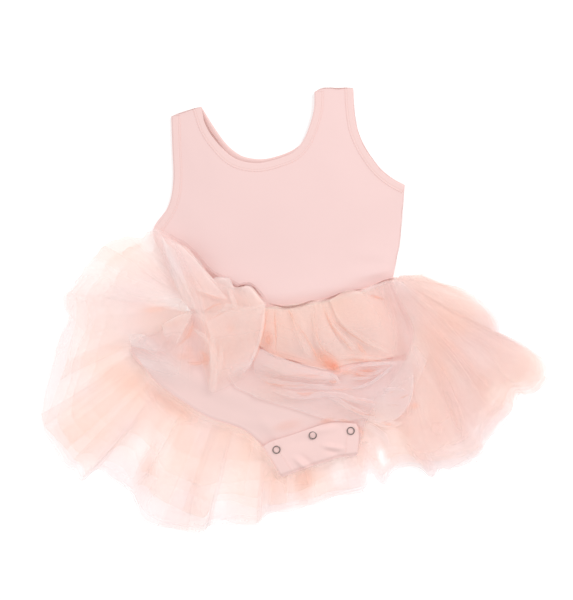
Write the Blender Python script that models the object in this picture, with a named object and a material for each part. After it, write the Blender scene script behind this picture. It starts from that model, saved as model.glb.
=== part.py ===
"""Infant's ballet tutu: a jersey leotard with a gathered tulle skirt, laid flat on its back.

The row frame: +X to the right across the garment, +Y towards the shoulders, +Z up.
The surface it lies on is z = 0.  Tables are in millimetres and are scaled to metres.
"""
import math

import bmesh
import bpy
import numpy as np
from mathutils import Matrix, Vector
from mathutils.bvhtree import BVHTree

# ---------------------------------------------------------------- sizes (mm)
JERSEY_WALL = 1.2          # leotard cloth with its seams
BAND_WALL = 1.0            # folded neck, armhole and leg bands
TULLE_WALL = 1.0           # one tulle layer, as thin as a solid wall may be
SEAM_GAP = 0.4             # space kept between pieces that are sewn together
BAND_WIDTH = 8.5           # neck and armhole bands
LEG_HEM_WIDTH = 5.0        # turned hem of a leg opening
TAB_BAND_WIDTH = 13.0      # stitched ends of the crotch tab
SNAP_OUTER = 9.0           # open-ring snap fastener, across
SNAP_WIRE = 1.7            # its rim, across
LAYER_STEP = 2.3           # one tulle layer and the space above it
FAN_COLUMNS = 100          # radial lines across the spread skirt
MAP_CELL = 3.0             # cell of the height map that the layers lie on
MAP_HALF = 330.0           # half the side of that map

for item in list(bpy.data.objects):
    bpy.data.objects.remove(item, do_unlink=True)

tutu = bpy.data.collections.new("ballet_tutu")
bpy.context.scene.collection.children.link(tutu)


# ---------------------------------------------------------------- materials
def make_material(name, colour, rough, metal=0.0):
    """A plain Principled material."""
    mat = bpy.data.materials.new(name)
    mat.use_nodes = True
    shader = mat.node_tree.nodes["Principled BSDF"]
    shader.inputs["Base Color"].default_value = (colour[0], colour[1], colour[2], 1.0)
    shader.inputs["Roughness"].default_value = rough
    shader.inputs["Metallic"].default_value = metal
    mat.diffuse_color = (colour[0], colour[1], colour[2], 1.0)
    return mat


JERSEY_PINK = (0.89, 0.66, 0.62)
TULLE_PINK = (0.95, 0.70, 0.61)
SNAP_GREY = (0.42, 0.42, 0.43)


# ---------------------------------------------------------------- curves and patches
def smooth_line(points, count):
    """Catmull-Rom curve through the points, sampled evenly along its length."""
    pts = np.array(points, dtype=float)
    if len(pts) == 2:
        share = np.linspace(0.0, 1.0, count)[:, None]
        return pts[0] * (1.0 - share) + pts[1] * share
    ends = np.vstack([2 * pts[0] - pts[1], pts, 2 * pts[-1] - pts[-2]])
    dense = []
    for i in range(1, len(ends) - 2):
        p0, p1, p2, p3 = ends[i - 1], ends[i], ends[i + 1], ends[i + 2]
        for t in np.linspace(0.0, 1.0, 14, endpoint=False):
            a = 2 * p1 + (p2 - p0) * t
            b = (2 * p0 - 5 * p1 + 4 * p2 - p3) * t * t
            c = (3 * p1 - p0 - 3 * p2 + p3) * t * t * t
            dense.append(0.5 * (a + b + c))
    dense.append(pts[-1])
    return even_line(np.array(dense), count)


def even_line(dense, count):
    """Points at even steps along a polyline."""
    step = np.linalg.norm(np.diff(dense, axis=0), axis=1)
    length = np.concatenate([[0.0], np.cumsum(step)])
    want = np.linspace(0.0, length[-1], count)
    columns = [np.interp(want, length, dense[:, k]) for k in range(dense.shape[1])]
    return np.stack(columns, axis=1)


def four_sided(top, bottom, left, right):
    """Coons patch: rows run from top to bottom, columns from left to right."""
    rows = len(left)
    cols = len(top)
    s = np.linspace(0.0, 1.0, cols)[None, :, None]
    t = np.linspace(0.0, 1.0, rows)[:, None, None]
    across = (1 - t) * top[None, :, :] + t * bottom[None, :, :]
    down = (1 - s) * left[:, None, :] + s * right[:, None, :]
    corners = ((1 - s) * (1 - t) * top[0] + s * (1 - t) * top[-1]
               + (1 - s) * t * bottom[0] + s * t * bottom[-1])
    return across + down - corners


def grid_faces(rows, cols, start=0):
    """Quads of a grid whose points are numbered row by row."""
    faces = []
    for i in range(rows - 1):
        for j in range(cols - 1):
            a = start + i * cols + j
            faces.append((a, a + cols, a + cols + 1, a + 1))
    return faces


def strip_along(line, width, side):
    """Grid of a band: the edge line, and the same line moved inwards by width."""
    ahead = np.gradient(line, axis=0)
    ahead /= np.linalg.norm(ahead, axis=1)[:, None]
    inward = np.stack([-ahead[:, 1], ahead[:, 0]], axis=1) * side
    return np.stack([line + inward * 0.2, line + inward * (0.2 + width)])


# ---------------------------------------------------------------- the height map
class LaidHeap:
    """Height of the cloth laid so far, so that each piece lies on what is under it."""

    def __init__(self):
        self.count = int(2 * MAP_HALF / MAP_CELL) + 1
        self.top = np.zeros((self.count, self.count))

    def cell(self, xy):
        """Map cell of each point."""
        index = np.rint((xy + MAP_HALF) / MAP_CELL).astype(int)
        return np.clip(index, 0, self.count - 1)

    def lay(self, points, faces, high):
        """Add the upper side of a piece to the map."""
        for face in faces:
            corner = points[list(face)]
            level = high[list(face)]
            span = max(np.ptp(corner[:, 0]), np.ptp(corner[:, 1]))
            steps = max(3, int(span / 2.0) + 2)
            u, v = np.meshgrid(np.linspace(0, 1, steps), np.linspace(0, 1, steps))
            share = np.stack([(1 - u) * (1 - v), (1 - u) * v, u * v, u * (1 - v)], axis=-1)
            where = self.cell((share @ corner).reshape(-1, 2))
            np.maximum.at(self.top, (where[:, 1], where[:, 0]), (share @ level).ravel())

    def under(self, points, reach, soften=6.0):
        """Highest cloth within reach of each point, softened."""
        wide = spread(self.top, int(math.ceil((reach + soften) / MAP_CELL)))
        smooth = blur(wide, int(soften / MAP_CELL))
        where = self.cell(points)
        return smooth[where[:, 1], where[:, 0]]


def spread(field, cells):
    """Largest value within a round patch of cells."""
    out = field.copy()
    for dy in range(-cells, cells + 1):
        for dx in range(-cells, cells + 1):
            if dx * dx + dy * dy <= cells * cells + 1:
                out = np.maximum(out, np.roll(np.roll(field, dy, axis=0), dx, axis=1))
    return out


def blur(field, cells):
    """Mean over a square of cells."""
    total = np.zeros_like(field)
    number = 0
    for dy in range(-cells, cells + 1):
        for dx in range(-cells, cells + 1):
            total += np.roll(np.roll(field, dy, axis=0), dx, axis=1)
            number += 1
    return total / number


heap = LaidHeap()
laid_trees = []
laid_corners = []
DOWN = Vector((0.0, 0.0, -1.0))


def cloth_below(x, y, start):
    """Height of the highest piece under a point, or None where there is only the surface."""
    best = None
    for tree in laid_trees:
        hit = tree.ray_cast(Vector((x, y, start)), DOWN)[0]
        if hit is not None and (best is None or hit.z > best):
            best = hit.z
    return best


def triangles_of(faces):
    """Each quad cut along its first diagonal, the same way on every side of a wall."""
    cut = []
    for a, b, c, d in faces:
        cut.append((a, b, c))
        cut.append((a, c, d))
    return cut


def settle(points, faces, low):
    """Lower a piece as a whole until it lies SEAM_GAP from what is under it."""
    shares = [(1, 0, 0), (0.5, 0.5, 0), (0.75, 0.25, 0), (0.25, 0.75, 0), (0.5, 0, 0.5),
              (0.75, 0, 0.25), (0.25, 0, 0.75), (0, 0.5, 0.5), (0, 1, 0), (0, 0, 1),
              (0.34, 0.33, 0.33)]
    cut = triangles_of(faces)
    room = 1e9
    for face in cut:
        corner = points[list(face)]
        level = low[list(face)]
        for share in shares:
            x, y = np.array(share) @ corner
            z = np.array(share) @ level
            under = cloth_below(x, y, z + 60.0)
            room = min(room, z - under) if under is not None else room
    lower = [Vector((x, y, z)) for (x, y), z in zip(points, low)]
    own = BVHTree.FromPolygons(lower, [list(face) for face in cut])
    for corner in laid_corners:
        hit = own.ray_cast(Vector((corner[0], corner[1], 200.0)), DOWN)[0]
        if hit is not None:
            room = min(room, hit.z - corner[2])
    return low - (room - SEAM_GAP) if room < 1e8 else low


def folds(points, table):
    """Sum of soft ridges; each row is x1, y1, x2, y2, height, half_width."""
    total = np.zeros(len(points))
    for x1, y1, x2, y2, height, half_width in table:
        start = np.array([x1, y1])
        run = np.array([x2 - x1, y2 - y1])
        share = np.clip((points - start) @ run / (run @ run), 0.0, 1.0)
        away = np.linalg.norm(points - start - share[:, None] * run, axis=1)
        fade = 0.35 + 0.65 * np.sin(math.pi * np.clip(share, 0.05, 0.95)) ** 0.7
        total += height * fade * np.exp(-(away / half_width) ** 2)
    return total


def smooth_step(low, high, value):
    """Smooth ramp from 0 at low to 1 at high."""
    t = np.clip((value - low) / (high - low), 0.0, 1.0)
    return t * t * (3 - 2 * t)


# ---------------------------------------------------------------- solids
def cloth_solid(name, points, faces, low, wall, material):
    """Closed cloth wall: the lower side at low, the upper side one wall above."""
    mesh = bpy.data.meshes.new(name)
    count = len(points)
    high = low + wall
    verts = [(x / 1000, y / 1000, z / 1000) for (x, y), z in zip(points, low)]
    verts += [(x / 1000, y / 1000, z / 1000) for (x, y), z in zip(points, high)]
    sides = {}
    for face in faces:
        for a, b in zip(face, face[1:] + face[:1]):
            if (b, a) in sides:
                del sides[(b, a)]
            else:
                sides[(a, b)] = True
    cut = triangles_of(faces)
    polys = [tuple(i + count for i in face) for face in cut] + [face[::-1] for face in cut]
    polys += [(b, b + count, a + count, a) for a, b in sides]
    mesh.from_pydata(verts, [], polys)
    solid = bmesh.new()
    solid.from_mesh(mesh)
    bmesh.ops.recalc_face_normals(solid, faces=solid.faces)
    if solid.calc_volume(signed=True) < 0:
        bmesh.ops.reverse_faces(solid, faces=solid.faces)
    solid.to_mesh(mesh)
    solid.free()
    mesh.update()
    for poly in mesh.polygons:
        poly.use_smooth = True
    obj = bpy.data.objects.new(name, mesh)
    tutu.objects.link(obj)
    mesh.materials.append(material)
    heap.lay(points, faces, high)
    upper = [Vector((x, y, z)) for (x, y), z in zip(points, high)]
    laid_trees.append(BVHTree.FromPolygons(upper, [list(face) for face in cut]))
    laid_corners.extend([x, y, z] for (x, y), z in zip(points, high))
    return obj


def longest_edge(points, faces):
    """Longest side or diagonal of the faces, so the support search reaches as far."""
    longest = 0.0
    for face in faces:
        corner = points[list(face)]
        longest = max(longest, np.linalg.norm(corner[0] - corner[2]),
                      np.linalg.norm(corner[1] - corner[3]))
    return longest


def lay_patch(name, grid, wall, material, lift=None, floor=0.0, gap=SEAM_GAP, reach=None):
    """Lay a grid of points on the heap, raised by its own folds."""
    rows, cols, _ = grid.shape
    points = grid.reshape(-1, 2)
    faces = grid_faces(rows, cols)
    reach = longest_edge(points, faces) if reach is None else reach
    low = np.maximum(heap.under(points, reach) + gap, floor)
    if lift is not None:
        low = low + lift(points, rows, cols)
    low = settle(points, faces, low)
    return cloth_solid(name, points, faces, low, wall, material)


# ---------------------------------------------------------------- leotard outlines (x, y)
LEFT_STRAP_TOP = [(-122.5, 193.5), (-107.0, 198.5), (-92.5, 202.5)]
RIGHT_STRAP_TOP = [(21.5, 217.5), (29.0, 220.5), (44.0, 221.2), (59.5, 221.5)]
LEFT_ARM_UPPER = [(-122.5, 193.5), (-122.3, 178.0), (-121.8, 163.0)]
LEFT_ARM_LOWER = [(-121.8, 163.0), (-120.5, 130.0), (-125.0, 104.5), (-140.5, 80.0)]
LEFT_SIDE = [(-140.5, 80.0), (-133.0, 55.5), (-123.0, 32.5), (-112.5, 12.5), (-102.0, -2.5)]
RIGHT_ARM_UPPER = [(59.5, 221.5), (61.0, 205.5), (63.0, 187.5), (67.5, 172.5)]
RIGHT_ARM_LOWER = [(67.5, 172.5), (75.5, 157.5), (86.5, 142.5), (98.5, 132.0), (110.5, 123.5)]
RIGHT_SIDE = [(110.5, 123.5), (108.5, 94.5), (106.5, 69.5), (102.5, 47.5), (99.5, 30.5)]
WAIST = [(-102.0, -2.5), (-66.3, -2.7), (-33.2, -0.7), (-0.5, 3.0), (31.9, 9.9), (64.0, 18.5),
         (99.5, 30.5)]
FRONT_NECK_LEFT = [(-92.5, 202.5), (-85.5, 181.5), (-74.5, 165.5)]
FRONT_NECK_FLOOR = [(-74.5, 165.5), (-64.0, 154.5), (-51.5, 148.3), (-34.0, 146.5),
                    (-13.5, 151.5), (-0.5, 157.5), (9.5, 168.5)]
FRONT_NECK_RIGHT = [(21.5, 217.5), (20.5, 201.5), (16.5, 184.5), (9.5, 168.5)]
BACK_NECK_LEFT = [(-92.5, 202.5), (-82.5, 183.5), (-71.0, 167.5)]
BACK_NECK_FLOOR = [(-71.0, 167.5), (-60.5, 158.8), (-48.5, 153.5), (-30.5, 152.0),
                   (-12.5, 156.0), (1.5, 162.0), (10.5, 169.5)]
BACK_NECK_RIGHT = [(21.5, 217.5), (20.9, 201.5), (17.2, 184.5), (10.5, 169.5)]

STRAP_COLS = 4
NECK_COLS = 9
STRAP_ROWS = 5
BODY_ROWS = 11


def bodice_panel(neck_left, neck_floor, neck_right):
    """Points and faces of a tank-top panel: a body patch with a strap at each end."""
    row_left = smooth_line([LEFT_ARM_UPPER[-1], neck_left[-1]], STRAP_COLS)
    row_neck = smooth_line(neck_floor, NECK_COLS)
    row_right = smooth_line([neck_right[-1], RIGHT_ARM_UPPER[-1]], STRAP_COLS)
    top = np.vstack([row_left, row_neck[1:], row_right[1:]])
    bottom = smooth_line(WAIST, len(top))
    left = smooth_line(LEFT_ARM_LOWER + LEFT_SIDE[1:], BODY_ROWS)
    right = smooth_line(RIGHT_ARM_LOWER + RIGHT_SIDE[1:], BODY_ROWS)
    body = four_sided(top, bottom, left, right)
    strap_l = four_sided(smooth_line(LEFT_STRAP_TOP, STRAP_COLS), row_left,
                         smooth_line(LEFT_ARM_UPPER, STRAP_ROWS),
                         smooth_line(neck_left, STRAP_ROWS))
    strap_r = four_sided(smooth_line(RIGHT_STRAP_TOP, STRAP_COLS), row_right,
                         smooth_line(neck_right, STRAP_ROWS),
                         smooth_line(RIGHT_ARM_UPPER, STRAP_ROWS))
    points = []
    faces = []
    number = {}
    for grid in (body, strap_l, strap_r):
        rows, cols, _ = grid.shape
        ids = []
        for point in grid.reshape(-1, 2):
            key = (round(point[0], 2), round(point[1], 2))
            if key not in number:
                number[key] = len(points)
                points.append(point)
            ids.append(number[key])
        for face in grid_faces(rows, cols):
            faces.append(tuple(ids[i] for i in face))
    return np.array(points), faces


def edge_distance(points, outlines):
    """Distance of each point from the nearest of the outlines."""
    nearest = np.full(len(points), 1e9)
    for outline in outlines:
        dense = smooth_line(outline, 80)
        gap = np.linalg.norm(points[:, None, :] - dense[None, :, :], axis=2)
        nearest = np.minimum(nearest, gap.min(axis=1))
    return nearest


# ---------------------------------------------------------------- bodice
points, faces = bodice_panel(BACK_NECK_LEFT, BACK_NECK_FLOOR, BACK_NECK_RIGHT)
cloth_solid("bodice_back", points, faces, np.zeros(len(points)), JERSEY_WALL,
            make_material("bodice_back", JERSEY_PINK, 0.85))

back_neck = np.vstack([smooth_line(BACK_NECK_LEFT, 9)[:-1], smooth_line(BACK_NECK_FLOOR, 15),
                       smooth_line(BACK_NECK_RIGHT, 9)[::-1][1:]])
lay_patch("neck_band_back", strip_along(even_line(back_neck, 30), BAND_WIDTH, -1.0)[::-1],
          BAND_WALL, make_material("neck_band_back", JERSEY_PINK, 0.85), reach=0.0)

# the front lies on the back, rises in the middle, and is thickest at the waist seam
BODICE_WRINKLES = [
    (98, 36, 52, 30, 0.9, 7),
    (96, 44, 60, 52, 0.7, 8),
    (-118, 110, -60, 60, 0.8, 18),
    (-8, 16, 60, 34, 0.8, 9),
]
points, faces = bodice_panel(FRONT_NECK_LEFT, FRONT_NECK_FLOOR, FRONT_NECK_RIGHT)
rim = edge_distance(points, [LEFT_SIDE, RIGHT_SIDE, LEFT_ARM_LOWER, RIGHT_ARM_LOWER,
                             LEFT_ARM_UPPER, RIGHT_ARM_UPPER])
waist_near = edge_distance(points, [WAIST])
puff = 1.7 * smooth_step(0, 45, rim) + 3.2 * (1 - smooth_step(0, 42, waist_near))
low = np.maximum(heap.under(points, 9.0), JERSEY_WALL) + SEAM_GAP + puff
low += folds(points, BODICE_WRINKLES)
low = settle(points, faces, low)
cloth_solid("bodice_front", points, faces, low, JERSEY_WALL,
            make_material("bodice_front", JERSEY_PINK, 0.85))

front_neck = np.vstack([smooth_line(FRONT_NECK_LEFT, 9)[:-1], smooth_line(FRONT_NECK_FLOOR, 15),
                        smooth_line(FRONT_NECK_RIGHT, 9)[::-1][1:]])
BAND_REACH = 8.0
lay_patch("neck_band_front", strip_along(even_line(front_neck, 30), BAND_WIDTH, -1.0)[::-1],
          BAND_WALL, make_material("neck_band_front", JERSEY_PINK, 0.85), reach=BAND_REACH)
arm_left = np.vstack([smooth_line(LEFT_ARM_UPPER, 6)[:-1], smooth_line(LEFT_ARM_LOWER, 12)])
lay_patch("armhole_band_left", strip_along(even_line(arm_left, 16), BAND_WIDTH, 1.0),
          BAND_WALL, make_material("armhole_band_left", JERSEY_PINK, 0.85), reach=BAND_REACH)
arm_right = np.vstack([smooth_line(RIGHT_ARM_UPPER, 6)[:-1], smooth_line(RIGHT_ARM_LOWER, 12)])
lay_patch("armhole_band_right", strip_along(even_line(arm_right, 16), BAND_WIDTH, -1.0)[::-1],
          BAND_WALL, make_material("armhole_band_right", JERSEY_PINK, 0.85), reach=BAND_REACH)

# ---------------------------------------------------------------- skirt, back layers
# The gathered seam, from the left end of the waist round to its right end.
ROOT_LINE = [(-108.5, 1.0), (-109.5, -3.5), (-103.0, -3.3), (-66.3, -3.3), (-33.2, -1.3),
             (-0.5, 2.4), (31.9, 9.3), (64.0, 17.9), (99.7, 29.9), (104.5, 31.0),
             (106.0, 33.5)]
# One row for each fold of the spread hem, counter-clockwise from the upper left:
# root_share along the seam, hem_x, hem_y, middle and inner reach as shares, lift of the hem.
BACK_FOLDS = [
    (0.000, -195.5, 56.5, 0.93, 0.80, 3.0),
    (0.010, -209.5, 38.5, 0.90, 0.84, 9.0),
    (0.020, -220.5, 22.5, 0.92, 0.78, 4.0),
    (0.030, -228.5, 15.5, 0.95, 0.82, 10.0),
    (0.040, -228.5, 2.5, 0.88, 0.76, 3.0),
    (0.050, -225.5, -8.5, 0.92, 0.82, 9.0),
    (0.060, -233.5, -24.5, 0.90, 0.78, 3.0),
    (0.072, -239.5, -44.5, 0.88, 0.83, 11.0),
    (0.085, -243.5, -62.5, 0.91, 0.80, 4.0),
    (0.098, -249.5, -82.5, 0.88, 0.84, 10.0),
    (0.112, -252.5, -103.5, 0.93, 0.82, 3.0),
    (0.127, -250.0, -118.5, 0.96, 0.88, 11.0),
    (0.144, -240.5, -131.5, 0.93, 0.88, 4.0),
    (0.162, -227.5, -153.5, 0.94, 0.86, 11.0),
    (0.182, -216.5, -159.5, 0.90, 0.85, 3.0),
    (0.203, -210.5, -170.5, 0.92, 0.86, 10.0),
    (0.225, -194.5, -158.5, 0.93, 0.84, 2.0),
    (0.247, -178.5, -169.5, 0.90, 0.82, 9.0),
    (0.268, -163.5, -181.5, 0.92, 0.84, 4.0),
    (0.288, -158.0, -195.5, 0.89, 0.80, 10.0),
    (0.308, -148.5, -210.5, 0.86, 0.79, 4.0),
    (0.330, -121.5, -219.5, 0.84, 0.78, 12.0),
    (0.353, -92.5, -222.5, 0.87, 0.80, 5.0),
    (0.373, -83.5, -213.5, 0.85, 0.76, 10.0),
    (0.393, -65.5, -214.5, 0.84, 0.78, 3.0),
    (0.415, -38.0, -214.5, 0.88, 0.80, 11.0),
    (0.436, -30.0, -205.5, 0.90, 0.80, 3.0),
    (0.456, -20.5, -202.5, 0.93, 0.82, 10.0),
    (0.478, -4.5, -201.5, 0.90, 0.84, 4.0),
    (0.500, 16.5, -195.5, 0.93, 0.86, 11.0),
    (0.524, 38.5, -188.5, 0.91, 0.85, 4.0),
    (0.548, 72.0, -180.5, 0.95, 0.86, 10.0),
    (0.572, 78.5, -165.0, 0.96, 0.88, 2.0),
    (0.597, 90.5, -175.5, 0.92, 0.86, 10.0),
    (0.622, 100.5, -159.5, 0.95, 0.90, 3.0),
    (0.648, 123.5, -156.5, 0.93, 0.87, 9.0),
    (0.674, 139.5, -168.5, 0.90, 0.84, 4.0),
    (0.698, 146.5, -160.5, 0.93, 0.86, 10.0),
    (0.722, 159.5, -160.5, 0.91, 0.84, 3.0),
    (0.746, 176.5, -153.5, 0.93, 0.87, 11.0),
    (0.770, 189.5, -141.5, 0.90, 0.85, 4.0),
    (0.793, 190.5, -131.5, 0.94, 0.88, 9.0),
    (0.815, 200.5, -121.5, 0.92, 0.86, 3.0),
    (0.836, 217.5, -104.5, 0.93, 0.88, 11.0),
    (0.856, 223.5, -84.5, 0.95, 0.90, 4.0),
    (0.874, 240.0, -83.0, 0.90, 0.85, 9.0),
    (0.892, 252.5, -68.5, 0.92, 0.84, 12.0),
    (0.909, 251.5, -52.5, 0.90, 0.84, 5.0),
    (0.925, 230.5, -35.5, 0.94, 0.88, 10.0),
    (0.940, 208.5, -25.5, 0.95, 0.90, 4.0),
    (0.954, 204.5, -12.5, 0.93, 0.88, 10.0),
    (0.967, 194.0, 2.5, 0.94, 0.88, 4.0),
    (0.980, 174.5, 16.5, 0.93, 0.88, 9.0),
    (0.991, 151.5, 22.5, 0.92, 0.86, 4.0),
    (1.000, 131.0, 31.0, 0.94, 0.88, 6.0),
]


def fan_lines(table):
    """Root point, hem point, shares and lift of every radial line of the skirt."""
    rows = np.array(table)
    place = np.linspace(0, len(rows) - 1, FAN_COLUMNS)
    before = np.minimum(place.astype(int), len(rows) - 2)
    part = place - before
    ease = 0.5 - 0.5 * np.cos(math.pi * part)
    flat = rows[before] + (rows[before + 1] - rows[before]) * part[:, None]
    eased = rows[before] + (rows[before + 1] - rows[before]) * ease[:, None]
    root_dense = smooth_line(ROOT_LINE, 400)
    root = root_dense[np.rint(flat[:, 0] * 399).astype(int)]
    return root, flat[:, 1:3], flat[:, 3], flat[:, 4], eased[:, 5]


fan_root, fan_hem, middle_share, inner_share, fan_lift = fan_lines(BACK_FOLDS)
# where the leotard presses the skirt flat: centre x, y and half sizes
PRESSED = [(-40.0, -55.0, 92.0, 80.0), (22.0, -110.0, 70.0, 80.0), (-115.0, -45.0, 55.0, 55.0)]


def common_folds(points, reach):
    """Height of the folds that all the back layers share."""
    free = np.ones(len(points))
    for x, y, half_x, half_y in PRESSED:
        away = np.hypot((points[:, 0] - x) / half_x, (points[:, 1] - y) / half_y)
        free *= smooth_step(0.65, 1.5, away)
    gather = 0.5 * (1 - reach) ** 2 * np.where(np.arange(FAN_COLUMNS) % 2 == 0, 1.0, 0.0)
    rise = fan_lift[None, :] * reach ** 1.4
    return (rise.ravel() * (0.06 + 0.94 * free)).reshape(reach.shape[0], -1) + gather


def radial_grid(reach):
    """Points of the radial lines at the given shares of their length."""
    return fan_root[None] * (1 - reach[..., None]) + fan_hem[None] * reach[..., None]


OUTER_ROWS = 7
outer_reach = np.repeat(np.linspace(0.0, 1.0, OUTER_ROWS)[:, None], FAN_COLUMNS, axis=1)
outer_height = common_folds(radial_grid(outer_reach).reshape(-1, 2), outer_reach)


def back_layer(name, share, rows, step):
    """One back layer: it follows the common folds, one step above the layer below."""
    reach = np.linspace(0.0, 1.0, rows)[:, None] * share[None, :]
    points = radial_grid(reach).reshape(-1, 2)
    low = np.zeros(reach.shape)
    for c in range(FAN_COLUMNS):
        low[:, c] = np.interp(reach[:, c], outer_reach[:, c], outer_height[:, c])
    faces = grid_faces(rows, FAN_COLUMNS)
    cloth_solid(name, points, faces, low.ravel() + step * LAYER_STEP, TULLE_WALL,
                make_material(name, TULLE_PINK, 0.9))


back_layer("tulle_back_outer", np.ones(FAN_COLUMNS), OUTER_ROWS, 0)
back_layer("tulle_back_middle", middle_share, OUTER_ROWS - 1, 1)
back_layer("tulle_back_inner", inner_share, OUTER_ROWS - 2, 2)

# ---------------------------------------------------------------- brief and crotch tab
BRIEF_TOP = [(-100.0, -3.8), (-66.3, -3.3), (-33.2, -1.3), (-0.5, 2.4), (31.9, 9.3), (64.0, 17.9),
             (97.0, 28.6)]
BRIEF_LEFT = [(-100.0, -3.8), (-132.0, -22.0), (-162.5, -38.5), (-142.5, -67.5), (-125.5, -82.5),
              (-109.5, -93.5), (-85.5, -108.5), (-51.5, -120.5), (-31.5, -137.0),
              (-14.5, -160.0)]
BRIEF_RIGHT = [(97.0, 28.6), (108.0, 7.0), (120.0, -22.0), (112.0, -50.0), (92.0, -80.0),
               (74.0, -108.0), (64.0, -140.5)]
BRIEF_END = [(-14.5, -160.0), (25.0, -150.0), (64.0, -140.5)]
BACK_END = [(-12.5, -166.0), (4.5, -161.0), (35.0, -151.0), (63.5, -145.0)]


def brief_grid(top, bottom, left, right, rows, cols):
    """Brief panel from the waist to the crotch."""
    return four_sided(smooth_line(top, cols), smooth_line(bottom, cols),
                      smooth_line(left, rows), smooth_line(right, rows))


back_left = [(x + 2.5, y + 1.5) for x, y in BRIEF_LEFT[:-1]] + [BACK_END[0]]
back_right = [(x - 2.0, y + 1.0) for x, y in BRIEF_RIGHT[:-1]] + [BACK_END[-1]]
back_top = [back_left[0]] + [(x, y) for x, y in BRIEF_TOP[1:-1]] + [back_right[0]]
lay_patch("brief_back", brief_grid(back_top, BACK_END, back_left, back_right, 12, 13),
          JERSEY_WALL, make_material("brief_back", JERSEY_PINK, 0.85), reach=10.0)

BRIEF_WRINKLES = [
    (-120, -55, -40, -95, 1.2, 16),
    (-60, -30, 20, -90, 1.5, 22),
    (-40, -105, -8, -140, 0.8, 8),
]


def brief_lift(points, rows, cols):
    """The front stands a little off the back in its middle."""
    rim = edge_distance(points, [BRIEF_LEFT, BRIEF_RIGHT])
    return 1.2 * smooth_step(0, 35, rim) + folds(points, BRIEF_WRINKLES)


lay_patch("brief_front", brief_grid(BRIEF_TOP, BRIEF_END, BRIEF_LEFT, BRIEF_RIGHT, 12, 13),
          JERSEY_WALL, make_material("brief_front", JERSEY_PINK, 0.85), brief_lift, reach=10.0)
leg_edge_left = smooth_line(BRIEF_LEFT[2:9], 16)
lay_patch("leg_hem_left", strip_along(leg_edge_left, LEG_HEM_WIDTH, 1.0), BAND_WALL,
          make_material("leg_hem_left", JERSEY_PINK, 0.85), reach=7.0)
leg_edge_right = smooth_line(BRIEF_RIGHT[2:6], 12)
lay_patch("leg_hem_right", strip_along(leg_edge_right, LEG_HEM_WIDTH, -1.0)[::-1], BAND_WALL,
          make_material("leg_hem_right", JERSEY_PINK, 0.85), reach=7.0)

TAB_TOP = [(-31.5, -137.5), (-21.5, -131.5), (-2.5, -125.5), (14.5, -119.5), (31.5, -114.0),
           (45.5, -112.5), (62.5, -114.0)]
TAB_FOLD = [(-12.0, -167.5), (4.5, -161.5), (21.5, -155.5), (35.0, -151.5), (45.5, -148.0),
            (63.5, -146.0)]
TAB_LEFT = [TAB_TOP[0], (-22.0, -152.0), TAB_FOLD[0]]
TAB_RIGHT = [TAB_TOP[-1], (65.5, -121.0), (65.0, -134.0), TAB_FOLD[-1]]
TAB_WRINKLES = [
    (0, -150, 12, -160, 1.4, 5),
    (31, -137, 48, -139, 1.3, 5),
    (14, -123, 40, -120, 0.8, 6),
]
tab_grid = four_sided(smooth_line(TAB_TOP, 14), smooth_line(TAB_FOLD, 14),
                      smooth_line(TAB_LEFT, 6), smooth_line(TAB_RIGHT, 6))


def tab_lift(points, rows, cols):
    """Wrinkles of the tab."""
    return folds(points, TAB_WRINKLES)


lay_patch("crotch_tab", tab_grid, JERSEY_WALL,
          make_material("crotch_tab", JERSEY_PINK, 0.85), tab_lift, reach=9.0)
band_share = TAB_BAND_WIDTH / 94.0
for side, start in (("left", 0.01), ("right", 0.99 - band_share)):
    ends = [start, start + band_share / 2, start + band_share]
    band = np.array([[np.array([np.interp(e * 13, range(14), row[:, k]) for k in range(2)])
                      for e in ends] for row in tab_grid[:, :, :]])
    band[0] = band[0] * 0.97 + band[1] * 0.03
    band[-1] = band[-1] * 0.95 + band[-2] * 0.05
    lay_patch("leg_band_" + side, band, BAND_WALL,
              make_material("leg_band_" + side, JERSEY_PINK, 0.85), reach=8.0)


def add_snap(name, x, y):
    """An open-ring snap fastener, standing just clear of the cloth."""
    turns = [i * math.pi / 12 for i in range(24)]
    edge = SNAP_OUTER / 2 - SNAP_WIRE / 2
    seat = max(cloth_below(x + edge * math.cos(a), y + edge * math.sin(a), 90.0) for a in turns)
    seat += SEAM_GAP
    bpy.ops.mesh.primitive_torus_add(major_segments=24, minor_segments=6,
                                     major_radius=(SNAP_OUTER - SNAP_WIRE) / 2000,
                                     minor_radius=SNAP_WIRE / 2000)
    ring = bpy.context.active_object
    ring.name = name
    ring.data.name = name
    ring.location = Vector((x, y, seat + SNAP_WIRE / 2)) / 1000
    for holder in list(ring.users_collection):
        holder.objects.unlink(ring)
    tutu.objects.link(ring)
    ring.data.materials.append(make_material(name, SNAP_GREY, 0.35, 0.9))
    for poly in ring.data.polygons:
        poly.use_smooth = True


add_snap("snap_left", -17.0, -139.9)
add_snap("snap_middle", 19.2, -125.5)
add_snap("snap_right", 57.1, -121.1)

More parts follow.
